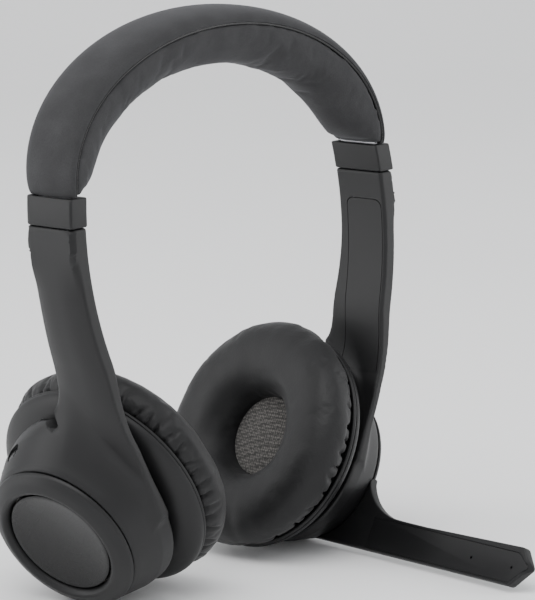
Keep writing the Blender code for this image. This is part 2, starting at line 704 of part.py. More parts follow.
def build_module(bench, side, body):
    outer = shell_outer()
    inner = [(max(r - SHELL_WALL * 0.7, 0.0), n - SHELL_WALL) for r, n in outer[:-2]]
    profile = outer + [(SHELL_R - SHELL_WALL, SHELL_MOUTH_N)] + list(reversed(inner))
    shell = bench.object("speaker_shell_" + side, turned(profile, ROUND, module_point), body, "satin_plastic")
    post_r = GIMBAL_R - GIMBAL_WIDE - 0.5 * MM
    for name, sign in (("low", -1), ("high", 1)):
        top, foot = 1.6 * MM, SHELL_BACK_N - 0.9 * MM - GIMBAL_N
        post = box(3.6 * MM, top - foot, post_r - 2.0 * MM, post_r, post_point(sign), (0.0, (top + foot) / 2))
        bench.join(shell, post, "gimbal_post_" + name + "_" + side)
        pin = slab(circle(PIN_R, 12), post_r - MM, GIMBAL_R - 0.4 * MM, post_point(sign))
        bench.join(shell, pin, "post_pin_" + name + "_" + side)
    top = SHELL_MOUTH_N - GAP
    low = top - BAFFLE_THICK
    rim_in = SHELL_R + 0.1 * MM - RIM_WIDE
    baffle = [(BAFFLE_HOLE_R, low), (rim_in - GAP, low), (rim_in - GAP, top), (BAFFLE_HOLE_R, top)]
    bench.object("baffle_" + side, turned(baffle, ROUND, module_point), body, "satin_plastic")
    rim = []
    for k in range(6):
        turn = 2 * PI * k / 6
        rim.append((rim_in + RIM_WIDE / 2 * (1 + math.cos(turn)),
                    (top + low) / 2 + BAFFLE_THICK / 2 * math.sin(turn) / math.sin(PI / 3)))
    bench.object("rim_ring_" + side, turned(rim, ROUND, module_point), body, "satin_plastic")
    back = top + GAP + 0.2 * MM
    driver = [
        (0.0, back + DRIVER_DEEP), (7.5 * MM, back + DRIVER_DEEP), (8.0 * MM, back + DRIVER_DEEP - EDGE),
        (8.0 * MM, back + 1.8 * MM), (DRIVER_R - 1.5 * MM, back + 1.4 * MM), (DRIVER_R, back + 0.8 * MM),
        (DRIVER_R, back), (DRIVER_R - 1.6 * MM, back), (DRIVER_R - 2.0 * MM, back + 0.7 * MM),
        (0.0, back + 0.9 * MM),
    ]
    bench.object("driver_" + side, turned(driver, SMALL, module_point), body, "white_metal")
    cone = BAFFLE_HOLE_R - GAP
    diaphragm = [
        (0.0, back - 1.4 * MM), (4 * MM, back - 1.0 * MM), (6 * MM, back), (cone, back - 0.9 * MM),
        (cone, back - 0.5 * MM), (6 * MM, back + 0.4 * MM), (4 * MM, back - 0.6 * MM), (0.0, back - 1.0 * MM),
    ]
    bench.object("diaphragm_" + side, turned(diaphragm, SMALL, module_point), body, "gloss_plastic")
    build_cushion(bench, side, body, low - GAP)


def build_cushion(bench, side, body, back):
    """A soft ring with a narrow flat crest, wider at its foot than at its throat."""
    crest = back - CUSHION_THICK
    crest_r = (CUSHION_R + CUSHION_HOLE_R) / 2
    profile = [(CUSHION_HOLE_R, back)]
    profile += [(SHELL_R - 1.4 * MM, back), (CUSHION_R - 0.6 * MM, back - 2.2 * MM)]
    crest_out, crest_in = crest_r + CREST_HALF_WIDTH, crest_r - CREST_HALF_WIDTH
    swings = [PI / 2 * k / 4 for k in range(5)]
    for swing in swings:
        profile.append((crest_out + (CUSHION_R - crest_out) * math.cos(swing),
                        crest + (CUSHION_THICK - 4.6 * MM) * (1 - math.sin(swing))))
    for swing in swings:
        profile.append((crest_in - (crest_in - CUSHION_HOLE_R) * math.sin(swing),
                        crest + (CUSHION_THICK - 3.4 * MM) * (1 - math.cos(swing))))
    bench.object("ear_cushion_" + side, turned(profile, ROUND, module_point), body, "leatherette")
    scrim_top = back - 2.0 * MM
    scrim_r = CUSHION_HOLE_R - GAP
    scrim_low = scrim_top - SCRIM_THICK
    scrim = [(0.0, scrim_top), (scrim_r, scrim_top), (scrim_r, scrim_low), (0.0, scrim_low)]
    bench.object("speaker_scrim_" + side, turned(scrim, SMALL, module_point), body, "scrim_mesh")


# ---------------------------------------------------------------- boom

def boom_outline(inset=0.0):
    """The blade's flat outline, from its blunt angled tip to the sweep into the ring."""
    low = -BOOM_LOW + inset
    high = -BOOM_LOW + 2 * BOOM_HALF_WIDTH - inset
    tip = -BOOM_REACH + inset
    peak = high + (1.2 * MM if inset == 0 else 0.0)
    points = [(tip + 6.0 * MM, low), (tip, high + inset - 4.4 * MM), (tip + 4.4 * MM, peak)]
    return points, low, high


def build_boom(bench, body):
    ring = bench.object("boom_arm", turned(ring_profile(), ROUND, cup_point), body, "satin_plastic")
    tip, low, high = boom_outline()
    sweep = 14.0 * MM
    top = [(-40 * MM, high)]
    for k in range(1, 6):
        swing = PI / 2 * k / 6
        top.append((-40 * MM + sweep * 1.2 * math.sin(swing), high + sweep * (1 - math.cos(swing))))
    foot = [(-RING_R + 3.5 * MM, -4 * MM), (-16 * MM, -14 * MM), (-3 * MM, -19 * MM), (0.0, low)]
    bench.join(ring, slab(tip + top + foot, BOOM_IN_N, BOOM_OUT_N, boom_point), "boom_blade")
    clear = [
        (0.0, -HOUSING_DEEP), (HOUSING_R + 0.4 * MM, -HOUSING_DEEP), (RING_R + 1.2 * MM, -1.6 * MM),
        (RING_R + 0.6 * MM, GAP), (0.0, GAP),
    ]
    bench.cut(ring, turned(clear, ROUND, cup_point), "boom_housing_clearance")
    tip, low, high = boom_outline(BOOM_COVER_INSET)
    cover_end = -30.5 * MM
    cover = tip + [(-38 * MM, high), (cover_end, high + 0.4 * MM), (cover_end, low)]
    depth = BOOM_IN_N + BOOM_COVER_THICK
    tip, low, high = boom_outline(BOOM_COVER_INSET - GAP)
    bed = tip + [(-38 * MM, high), (cover_end + GAP, high + 0.4 * MM), (cover_end + GAP, low)]
    bench.cut(ring, slab(bed, BOOM_IN_N - MM, depth + GAP, boom_point), "boom_cover_bed")
    strip = (-88.5 * MM - 3 * MM, -42 * MM)
    middle = (strip[0] + strip[1]) / 2
    board = (strip[1] - strip[0], 4.4 * MM)
    pocket = box(board[0] + 2 * GAP, board[1] + 2 * GAP, depth - MM, depth + 2.4 * MM, boom_point,
                 (middle, BOOM_CENTRE_V))
    bench.cut(ring, pocket, "boom_board_pocket")
    plate = bench.object("boom_inner_cover", slab(cover, BOOM_IN_N, depth, boom_point), body, "satin_plastic")
    holes = joined(*[slab(circle(MIC_HOLE_R, 10), BOOM_IN_N - MM, depth + MM,
                          lambda a, b, c, x=x: boom_point(x + a, BOOM_CENTRE_V + b, c)) for x in MIC_PLACES])
    bench.cut(plate, holes, "mic_ports")
    bench.object("mic_board", box(board[0], board[1], depth + 1.6 * MM, depth + 2.1 * MM, boom_point,
                                  (middle, BOOM_CENTRE_V)), body, "board")
    for number, x in enumerate(MIC_PLACES, 1):
        capsule = slab(circle(MIC_R, 14), depth + GAP, depth + 1.6 * MM - GAP,
                       lambda a, b, c, x=x: boom_point(x + a, BOOM_CENTRE_V + b, c))
        bench.object("mic_capsule_%d" % number, capsule, body, "white_metal")


# ---------------------------------------------------------------- controls and electronics

def wall_frame(angle):
    """On the housing's conical wall: along the rim, along the cup's axis, and straight out of the wall."""
    turn = math.radians(angle)
    slope = math.atan2(HOUSING_R - RING_R, HOUSING_DEEP)
    share = -CONTROL_N / HOUSING_DEEP
    radius = RING_R + (HOUSING_R - RING_R) * share

    def place(a, b, c):
        reach = radius + c * math.cos(slope) - b * math.sin(slope)
        n = CONTROL_N + b * math.cos(slope) + c * math.sin(slope)
        radial = Vector((math.cos(turn), math.sin(turn)))
        along = Vector((-math.sin(turn), math.cos(turn)))
        flat = radial * reach + along * a
        return cup_point(flat.x, flat.y, n)
    return place


def build_controls(bench, shell, body):
    for name, angle, width in (("volume_up_button", VOLUME_UP_ANGLE, 6.4 * MM),
                               ("call_button", CALL_ANGLE, 5.0 * MM),
                               ("volume_down_button", VOLUME_DOWN_ANGLE, 6.4 * MM)):
        place = wall_frame(angle)
        button_body = name + "_axis"
        bench.body(button_body, place(0.0, 0.0, 0.0))
        cap = slab(rounded(width, 3.4 * MM, 1.2 * MM, 3), -BUTTON_DEEP, BUTTON_PROUD, place)
        bench.object(name, cap, button_body, "gloss_plastic")
        hole = slab(rounded(width + 2 * GAP, 3.4 * MM + 2 * GAP, 1.2 * MM + GAP, 3), -5 * MM, 3 * MM, place)
        bench.cut(shell, hole, name + "_hole")
    place = wall_frame(POWER_ANGLE)
    bench.body("power_switch_axis", place(0.0, 0.0, 0.0))
    knob = slab(rounded(3.6 * MM, 2.6 * MM, 0.8 * MM, 3), -BUTTON_DEEP, BUTTON_PROUD, place)
    bench.object("power_switch", knob, "power_switch_axis", "gloss_plastic")
    run = rounded(3.6 * MM + POWER_TRAVEL + 2 * GAP, 2.6 * MM + 2 * GAP, 0.8 * MM + GAP, 3)
    track = slab(run, -5 * MM, 3 * MM, lambda a, b, c: place(a - POWER_TRAVEL / 2, b, c))
    bench.cut(shell, track, "power_switch_track")
    place = wall_frame(LIGHT_ANGLE)
    bench.object("status_light", slab(circle(LIGHT_R, 14), -2.4 * MM, 0.1 * MM, place), body, "light_pipe")
    bench.cut(shell, slab(circle(LIGHT_R + 0.2 * MM, 14), -5 * MM, 3 * MM, place), "status_light_hole")
    place = wall_frame(SOCKET_ANGLE)
    wide, high, deep = SOCKET_SIZE
    corner = high / 2 - 0.1 * MM
    outer = slab(rounded(wide, high, corner, 5), -deep, -0.2 * MM, place)
    socket = bench.object("charge_socket", outer, body, "white_metal")
    bore = rounded(wide - 2 * SOCKET_WALL, high - 2 * SOCKET_WALL, corner - SOCKET_WALL, 5)
    inner = slab(bore, -deep + SOCKET_WALL, MM, place)
    bench.cut(socket, inner, "charge_socket_hollow")
    tongue = box(wide - 4 * MM, 0.7 * MM, -deep + SOCKET_WALL / 2, -1.2 * MM, place)
    bench.join(socket, tongue, "charge_socket_tongue")
    mouth = slab(rounded(wide + 2 * GAP, high + 2 * GAP, corner + GAP, 5), -8 * MM, 3 * MM, place)
    bench.cut(shell, mouth, "charge_socket_mouth")


def build_board(bench, body):
    top = -FRONT_WALL - GAP - 0.8 * MM
    low = top - BOARD_THICK
    outline = [(0.0, low), (BOARD_R, low), (BOARD_R, top), (0.0, top)]
    bench.object("main_board", turned(outline, SMALL, cup_point), body, "board")
    processor = box(7 * MM, 7 * MM, low - GAP - 1.0 * MM, low - GAP, cup_point, (-4 * MM, 3 * MM))
    bench.object("processor_chip", processor, body, "gloss_plastic")


def build_battery(bench, body):
    length, width, thick = BATTERY_SIZE
    top = -FRONT_WALL - GAP
    cell = slab(rounded(length, width, 2 * MM, 3), top - thick, top, cup_point)
    bench.object("battery_cell", cell, body, "battery_foil")


# ---------------------------------------------------------------- the whole headset

clear_scene()
SHADES = {name: make_material(name) for name in MATERIALS}
root = Bench(1)
root.body("headband", Vector((0.0, 0.0, 0.0)))
build_headband(root)
for side, sign in SIDES.items():
    bench = Bench(sign)
    bench.bodies["headband"] = root.bodies["headband"]
    arm = "arm_" + side
    gimbal = "gimbal_" + side
    ear = "ear_" + side
    bench.body(arm, BLADE_FOOT)
    bench.body(gimbal, GIMBAL_CENTRE)
    bench.body(ear, GIMBAL_CENTRE)
    build_collar(bench, side)
    build_blade(bench, side)
    housing = build_arm(bench, side, arm)
    build_bush(bench, side, arm)
    build_cup_front(bench, side, arm)
    build_gimbal(bench, side, gimbal)
    build_module(bench, side, ear)
    if side == "left":
        bench.body("boom", CUP_CENTRE)
        build_boom(bench, "boom")
        build_battery(bench, arm)
    else:
        bench.object("outer_ring_right", turned(ring_profile(), ROUND, cup_point), arm, "satin_plastic")
        build_controls(bench, housing, arm)
        build_board(bench, arm)
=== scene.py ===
"""Looks of the wireless on-ear office headset: padded fabric headband, moulded arms and housings,
leatherette ear cushions and a swinging microphone boom. Metres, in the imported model's own frame."""

import json
import math
import random

import bmesh
import bpy
import numpy as np
from mathutils import Matrix, Vector, noise


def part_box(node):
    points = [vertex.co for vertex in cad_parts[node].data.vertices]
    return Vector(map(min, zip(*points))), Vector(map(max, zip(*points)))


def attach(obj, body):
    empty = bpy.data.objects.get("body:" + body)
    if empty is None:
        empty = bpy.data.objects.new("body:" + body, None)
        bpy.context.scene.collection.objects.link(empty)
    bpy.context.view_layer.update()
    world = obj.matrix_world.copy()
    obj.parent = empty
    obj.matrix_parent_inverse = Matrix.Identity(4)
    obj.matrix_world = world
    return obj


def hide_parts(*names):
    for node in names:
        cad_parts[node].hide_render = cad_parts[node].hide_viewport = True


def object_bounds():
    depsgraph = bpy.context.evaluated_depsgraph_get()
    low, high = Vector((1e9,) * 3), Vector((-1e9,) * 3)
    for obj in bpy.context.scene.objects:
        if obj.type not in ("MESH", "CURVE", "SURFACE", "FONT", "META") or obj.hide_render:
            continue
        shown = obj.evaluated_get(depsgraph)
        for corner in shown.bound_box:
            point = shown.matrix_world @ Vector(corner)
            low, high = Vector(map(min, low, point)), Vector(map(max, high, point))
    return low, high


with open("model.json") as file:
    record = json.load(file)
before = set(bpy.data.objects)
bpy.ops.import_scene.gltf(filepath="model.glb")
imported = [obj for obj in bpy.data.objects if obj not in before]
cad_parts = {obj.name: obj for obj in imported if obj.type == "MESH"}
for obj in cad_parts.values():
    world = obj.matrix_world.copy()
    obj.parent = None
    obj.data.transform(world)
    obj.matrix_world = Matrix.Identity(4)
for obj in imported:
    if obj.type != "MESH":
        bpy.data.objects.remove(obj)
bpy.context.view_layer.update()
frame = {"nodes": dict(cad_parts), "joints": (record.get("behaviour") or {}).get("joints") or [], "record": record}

MM = 0.001
PI = math.pi
JOINTS = {joint["name"]: joint for joint in frame["joints"]}

# the left cup's centre and axes: u to the rear, v up, n out of the ear
CUP = Vector(JOINTS["boom_swing"]["pos_m"])
OUTWARD = -Vector(JOINTS["boom_swing"]["axis"])
REARWARD = Vector(JOINTS["gimbal_tilt_left"]["axis"])
UPWARD = Vector(JOINTS["ear_swivel_left"]["axis"])
CUP_TILT = math.asin(-OUTWARD.z)
SWEEP = math.radians(6.0)      # how far band and arms run forward on their way down
ACROSS = Vector((0.0, 1.0, 0.0))

# headband
BAND_HALF_SPAN = 64.1 * MM
BAND_RISE = 39.0 * MM
BAND_END = math.radians(2.6)
BAND_HALF_WIDTH = 9.3 * MM
BAND_SWELL = 1.4 * MM
COVER_CROWN = 2.6 * MM
COVER_SWELL = 2.2 * MM
PAD_CROWN = 11.3 * MM
PAD_END = 4.6 * MM
PAD_SHOULDER = 2.8 * MM
BAND_CENTRE_Z = PAD_CROWN - BAND_RISE
SEAM_GAP = 0.16 * MM           # half the visible parting between cover and pad

# collars and arms
COLLAR_TOP_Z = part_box("collar_left")[1].z
COLLAR_LOW_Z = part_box("collar_left")[0].z
ARM_TOP_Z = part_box("arm_shell_left")[1].z
ARM_HALF_WIDTH = 8.9 * MM
ARM_RADIUS = 97.0 * MM
ARM_WIDEST_X = 64.6 * MM
ARM_WIDEST_Z = COLLAR_TOP_Z - 15.6 * MM
ARM_FLARE = 3.4 * MM
ARM_SOFT = 0.9 * MM            # radius on the arm's long edges
ARM_BEND_Z = ARM_WIDEST_Z - ARM_RADIUS * math.sin(CUP_TILT)
ARM_IN = -2.7 * MM             # inner and outer face of the arm, from its centre line
ARM_OUT = 3.4 * MM
ROOT_FACE_N = -10.2 * MM       # the arm's outer face where it meets the housing
ROOT_RAMP = (-50 * MM, -27 * MM)   # from 50 to 27 mm above the cup, the faces move outward
PANEL_EDGE = 1.5 * MM          # rim of the arm left round the inner panel
PANEL_THICK = 1.1 * MM
PANEL_LINE = 0.2 * MM          # the parting line round it

# housings
RING_R = 23.2 * MM
RING_HIGH = 3.9 * MM
LIP_R = 18.0 * MM
CAP_R = 16.4 * MM
CAP_DISH = 2.0 * MM
HOUSING_R = 27.6 * MM
HOUSING_DEEP = 14.2 * MM
WALL = 1.8 * MM
CONTROL_N = -7.6 * MM          # level of the keys on the rear wall
LIGHT_ANGLE = -37.0
SOCKET_ANGLE = -57.0

# ear modules
MODULE_LIFT = 1.3 * MM
SHELL_R = 33.0 * MM
SHELL_BACK_N = -14.6 * MM
SHELL_MOUTH_N = -21.4 * MM
CUSHION_R = 34.0 * MM
CUSHION_HOLE_R = 12.4 * MM
CUSHION_BACK_N = -23.2 * MM
CUSHION_CREST_N = -36.0 * MM
CREST_R = 23.2 * MM
SCRIM_N = -25.4 * MM
GIMBAL_N = -10.0 * MM
CUSHION_SEEDS = {"left": 11, "right": 29}

# boom
BOOM_REACH = 95.3 * MM
BOOM_HALF_WIDTH = 5.5 * MM
BOOM_LOW = 22.1 * MM
BOOM_IN_N = -1.6 * MM
BOOM_OUT_N = 1.3 * MM
MIC_PLACES = (-72.5 * MM, -88.5 * MM)
MIC_HOLE_R = 0.42 * MM

CLOTH_SCALE = 8.0              # small pads are simulated this much larger, where cloth behaves
TURNS = 144                    # sides of a large turned piece


# ---------------------------------------------------------------- materials

def linear(code):
    """A hex sRGB colour as linear red, green, blue and alpha."""
    values = [int(code[i:i + 2], 16) / 255 for i in (1, 3, 5)]
    return [v / 12.92 if v <= 0.04045 else ((v + 0.055) / 1.055) ** 2.4 for v in values] + [1.0]


def cycles(size_mm):
    """Texture scale at which one feature measures this many millimetres in Object coordinates."""
    return 1.0 / (size_mm * MM)


def add_node(tree, kind, settings=(), links=()):
    """Add a node, set its properties or input values by name, and feed its inputs by name."""
    node = tree.nodes.new(kind)
    for name, value in dict(settings).items():
        if isinstance(name, str) and hasattr(node, name):
            setattr(node, name, value)
        else:
            node.inputs[name].default_value = value
    for name, source in dict(links).items():
        tree.links.new(source, node.inputs[name])
    return node


def start_material(name, settings):
    """A material whose constants sit on the shader's own sockets."""
    material = bpy.data.materials.new(name)
    material.use_nodes = True
    tree = material.node_tree
    shader = tree.nodes["Principled BSDF"]
    for socket, value in settings.items():
        shader.inputs[socket].default_value = value
    place = add_node(tree, "ShaderNodeTexCoord").outputs["Object"]
    return material, tree, shader, place


def tint(tree, factor, low, high):
    """Colour that runs between two hex values."""
    mix = add_node(tree, "ShaderNodeMix", {"data_type": "RGBA"}, {0: factor})
    mix.inputs[6].default_value = linear(low)
    mix.inputs[7].default_value = linear(high)
    return mix.outputs[2]


def spread(tree, value, low, high):
    """Map a texture's middle range to a narrow range of numbers."""
    settings = {"From Min": 0.3, "From Max": 0.7, "To Min": low, "To Max": high}
    return add_node(tree, "ShaderNodeMapRange", settings, {"Value": value}).outputs["Result"]


def moulded_plastic(name, low, high, roughness, spark_mm, relief):
    """ABS from a spark-eroded mould: an even, very fine satin grain with faint flow marks."""
    material, tree, shader, place = start_material(name, {"IOR": 1.53, "Specular IOR Level": 0.32})
    spark = add_node(tree, "ShaderNodeTexNoise", {"Scale": cycles(spark_mm), "Detail": 3.0, "Roughness": 0.6},
                     {"Vector": place})
    flow = add_node(tree, "ShaderNodeTexNoise", {"Scale": cycles(14.0), "Detail": 2.0}, {"Vector": place})
    marks = spread(tree, flow.outputs["Fac"], 0.2, 0.8)
    tree.links.new(tint(tree, marks, low, high), shader.inputs["Base Color"])
    matt = spread(tree, spark.outputs["Fac"], roughness - 0.06, roughness + 0.04)
    handled = add_node(tree, "ShaderNodeMath", {"operation": "MULTIPLY_ADD", 1: 0.05},
                       {0: flow.outputs["Fac"], 2: matt})
    tree.links.new(handled.outputs[0], shader.inputs["Roughness"])
    bump = add_node(tree, "ShaderNodeBump", {"Strength": relief, "Distance": 0.03 * MM},
                    {"Height": spark.outputs["Fac"]})
    tree.links.new(bump.outputs["Normal"], shader.inputs["Normal"])
    return material


def brushed_knit():
    """Brushed polyester knit over foam: matt, a little downy, with fibres finer than the eye
    resolves, drawn here 0.35 mm apart so that they show."""
    settings = {"IOR": 1.5, "Specular IOR Level": 0.25, "Sheen Weight": 0.35, "Sheen Roughness": 0.45}
    material, tree, shader, place = start_material("brushed_polyester_knit", settings)
    shader.inputs["Sheen Tint"].default_value = linear("#8a8a8e")
    down = add_node(tree, "ShaderNodeTexNoise", {"Scale": cycles(0.35), "Detail": 4.0, "Roughness": 0.7},
                    {"Vector": place})
    nap = add_node(tree, "ShaderNodeTexNoise", {"Scale": cycles(7.0), "Detail": 3.0}, {"Vector": place})
    loops = add_node(tree, "ShaderNodeTexVoronoi", {"Scale": cycles(0.6)}, {"Vector": place})
    both = add_node(tree, "ShaderNodeMath", {"operation": "MULTIPLY"},
                    {0: down.outputs["Fac"], 1: nap.outputs["Fac"]})
    blend = add_node(tree, "ShaderNodeMapRange", {"From Min": 0.12, "From Max": 0.4},
                     {"Value": both.outputs[0]})
    tree.links.new(tint(tree, blend.outputs["Result"], "#29292a", "#383839"), shader.inputs["Base Color"])
    tree.links.new(spread(tree, nap.outputs["Fac"], 0.84, 0.95), shader.inputs["Roughness"])
    height = add_node(tree, "ShaderNodeMath", {"operation": "MULTIPLY_ADD", 1: 0.5},
                      {0: loops.outputs["Distance"], 2: down.outputs["Fac"]})
    bump = add_node(tree, "ShaderNodeBump", {"Strength": 0.35, "Distance": 0.12 * MM},
                    {"Height": height.outputs[0]})
    tree.links.new(bump.outputs["Normal"], shader.inputs["Normal"])
    return material


def leatherette():
    """Embossed polyurethane leatherette on a knit backing: soft pebbles 0.7 mm across, with a
    dull gloss that is a little brighter where the skin is stretched."""
    settings = {"IOR": 1.46, "Specular IOR Level": 0.35, "Sheen Weight": 0.05, "Sheen Roughness": 0.5}
    material, tree, shader, place = start_material("embossed_pu_leatherette", settings)
    pebble = add_node(tree, "ShaderNodeTexVoronoi", {"Scale": cycles(0.7), "Randomness": 0.9},
                      {"Vector": place})
    crease = add_node(tree, "ShaderNodeTexNoise", {"Scale": cycles(2.4), "Detail": 4.0}, {"Vector": place})
    wear = add_node(tree, "ShaderNodeTexNoise", {"Scale": cycles(11.0), "Detail": 2.0}, {"Vector": place})
    tree.links.new(tint(tree, spread(tree, wear.outputs["Fac"], 0.1, 0.9), "#111112", "#171718"),
                   shader.inputs["Base Color"])
    tree.links.new(spread(tree, wear.outputs["Fac"], 0.46, 0.58), shader.inputs["Roughness"])
    height = add_node(tree, "ShaderNodeMath", {"operation": "MULTIPLY_ADD", 1: 0.6},
                      {0: crease.outputs["Fac"], 2: pebble.outputs["Distance"]})
    bump = add_node(tree, "ShaderNodeBump", {"Strength": 0.3, "Distance": 0.09 * MM},
                    {"Height": height.outputs[0]})
    tree.links.new(bump.outputs["Normal"], shader.inputs["Normal"])
    return material


def speaker_knit():
    """Warp-knitted speaker cloth: open grey loops on a 0.8 mm pitch over black foam."""
    settings = {"IOR": 1.5, "Specular IOR Level": 0.2, "Sheen Weight": 0.2, "Sheen Roughness": 0.5}
    material, tree, shader, place = start_material("warp_knit_speaker_cloth", settings)
    loops = add_node(tree, "ShaderNodeTexVoronoi", {"Scale": cycles(0.8), "Randomness": 0.35},
                     {"Vector": place})
    fuzz = add_node(tree, "ShaderNodeTexNoise", {"Scale": cycles(0.3), "Detail": 3.0}, {"Vector": place})
    height = add_node(tree, "ShaderNodeMath", {"operation": "MULTIPLY_ADD", 1: 0.7},
                      {0: fuzz.outputs["Fac"], 2: loops.outputs["Distance"]})
    shade = add_node(tree, "ShaderNodeMapRange", {"From Min": 0.4, "From Max": 1.0},
                     {"Value": height.outputs[0]})
    tree.links.new(tint(tree, shade.outputs["Result"], "#6b6865", "#2c2b2a"), shader.inputs["Base Color"])
    shader.inputs["Roughness"].default_value = 0.92
    bump = add_node(tree, "ShaderNodeBump", {"Strength": 0.6, "Distance": 0.2 * MM, "invert": True},
                    {"Height": height.outputs[0]})
    tree.links.new(bump.outputs["Normal"], shader.inputs["Normal"])
    return material


def worked_metal(name, low, high, roughness, grain_mm, stretch):
    """Metal with a directional or cast grain, and a few dull patches."""
    material, tree, shader, place = start_material(name, {"Metallic": 1.0})
    lie = add_node(tree, "ShaderNodeMapping", {"Scale": stretch}, {"Vector": place})
    grain = add_node(tree, "ShaderNodeTexNoise", {"Scale": cycles(grain_mm), "Detail": 4.0},
                     {"Vector": lie.outputs["Vector"]})
    tree.links.new(tint(tree, grain.outputs["Fac"], low, high), shader.inputs["Base Color"])
    matt = spread(tree, grain.outputs["Fac"], roughness - 0.07, roughness + 0.07)
    tree.links.new(matt, shader.inputs["Roughness"])
    bump = add_node(tree, "ShaderNodeBump", {"Strength": 0.15, "Distance": 0.02 * MM},
                    {"Height": grain.outputs["Fac"]})
    tree.links.new(bump.outputs["Normal"], shader.inputs["Normal"])
    return material


def solder_masked_board():
    """FR4 circuit board under green solder mask: the woven glass shows faintly through it."""
    settings = {"IOR": 1.55, "Roughness": 0.35}
    material, tree, shader, place = start_material("solder_masked_fr4_board", settings)
    threads = {"Scale": cycles(6.0), "Mortar Size": 0.04, "Color1": linear("#0f3d22"),
               "Color2": linear("#124427"), "Mortar": linear("#1c5a35")}
    weave = add_node(tree, "ShaderNodeTexBrick", threads, {"Vector": place})
    tree.links.new(weave.outputs["Color"], shader.inputs["Base Color"])
    return material


MATERIALS = {
    "band_fabric": brushed_knit(),
    # moulded ABS, satin: housings, arms, collars and boom
    "satin_plastic": moulded_plastic("satin_moulded_abs", "#0f0f10", "#131314", 0.46, 0.22, 0.35),
    # polished ABS: the dished caps and the keys, darker and smoother
    "gloss_plastic": moulded_plastic("polished_moulded_abs", "#070708", "#0a0a0b", 0.27, 0.3, 0.12),
    "leatherette": leatherette(),
    "scrim_mesh": speaker_knit(),
    # cold-rolled spring strip with a lengthwise rolled grain
    "spring_steel": worked_metal("rolled_spring_steel", "#a9a9ac", "#c4c4c8", 0.34, 0.5, (1.0, 12.0, 0.3)),
    # zinc die casting with a dull nickel plate
    "plated_metal": worked_metal("nickel_plated_zinc", "#b3b1ac", "#cfcdc8", 0.3, 0.8, (1.0, 1.0, 1.0)),
    "board": solder_masked_board(),
    # crinkled aluminium pouch foil
    "battery_foil": worked_metal("aluminium_pouch_foil", "#a8a8ab", "#bdbdc0", 0.42, 1.6, (1.0, 1.0, 1.0)),
    # clear polycarbonate with an etched end
    "light_pipe": moulded_plastic("etched_polycarbonate", "#c9c9c4", "#d8d8d4", 0.35, 0.2, 0.2),
}


# ---------------------------------------------------------------- places

def cup_point(u, v, n):
    return CUP + REARWARD * u + UPWARD * v + OUTWARD * n


def module_point(u, v, n):
    return cup_point(u, v + MODULE_LIFT, n)


def swept(z):
    return z * math.tan(SWEEP)


def band_point(turn, width, height):
    """On the arch, at an angle from the left: across the band, and out from the seam."""
    a = BAND_HALF_SPAN * math.cos(turn)
    c = BAND_RISE * math.sin(turn)
    normal = Vector((a / BAND_HALF_SPAN ** 2, 0.0, c / BAND_RISE ** 2)).normalized()
    point = Vector((a, width, BAND_CENTRE_Z + c)) + normal * height
    return point + ACROSS * swept(BAND_CENTRE_Z + c)


def arm_centre(z):
    drop = (ARM_WIDEST_Z - z) / ARM_RADIUS
    return Vector((ARM_WIDEST_X - ARM_RADIUS * (1 - math.sqrt(1 - drop * drop)), swept(z), z))


def ease(value, low, high):
    """Zero below low, one above high, smooth between."""
    share = np.clip((value - low) / (high - low), 0.0, 1.0)
    return share * share * (3 - 2 * share)


# ---------------------------------------------------------------- mesh work

def linked(name, data):
    made = bpy.data.objects.new(name, data)
    bpy.context.scene.collection.objects.link(made)
    return made


def discard(*spent):
    for made in spent:
        bpy.data.objects.remove(made, do_unlink=True)


def mesh_data(name, mesh):
    data = bpy.data.meshes.new(name)
    mesh.to_mesh(data)
    mesh.free()
    return data


def make_object(name, mesh, material):
    """A smooth-shaded object at the origin from a bmesh."""
    bmesh.ops.recalc_face_normals(mesh, faces=mesh.faces)
    if mesh.calc_volume(signed=True) < 0:
        bmesh.ops.reverse_faces(mesh, faces=mesh.faces)
    data = mesh_data(name, mesh)
    if material:
        data.materials.append(MATERIALS[material])
    data.shade_smooth()
    return linked(name, data)


def skin(rings, closed=False):
    """Join a row of closed rings; the ends are filled unless the row closes."""
    mesh = bmesh.new()
    rows = [[mesh.verts.new(point) for point in ring] for ring in rings]
    pairs = list(zip(rows, rows[1:]))
    if closed:
        pairs.append((rows[-1], rows[0]))
    count = len(rows[0])
    for low, high in pairs:
        for i in range(count):
            j = (i + 1) % count
            mesh.faces.new((low[i], low[j], high[j], high[i]))
    if not closed:
        mesh.faces.new(rows[0])
        mesh.faces.new(list(reversed(rows[-1])))
    return mesh


def turned(profile, place, sides=TURNS):
    """Turn an outline round the cup's axis. One that starts and ends on the axis is closed there."""
    on_axis = profile[0][0] <= 0
    ring_part = profile[1:-1] if on_axis else profile
    rings = []
    for k in range(sides):
        turn = 2 * PI * k / sides
        rings.append([place(r * math.cos(turn), r * math.sin(turn), n) for r, n in ring_part])
    if not on_axis:
        return skin(rings, closed=True)
    mesh = bmesh.new()
    columns = [[mesh.verts.new(point) for point in ring] for ring in rings]
    poles = [mesh.verts.new(place(0.0, 0.0, end[1])) for end in (profile[0], profile[-1])]
    for low, high in zip(columns, columns[1:] + columns[:1]):
        for i in range(len(low) - 1):
            mesh.faces.new((low[i], low[i + 1], high[i + 1], high[i]))
        mesh.faces.new((poles[0], low[0], high[0]))
        mesh.faces.new((poles[1], high[-1], low[-1]))
    return mesh


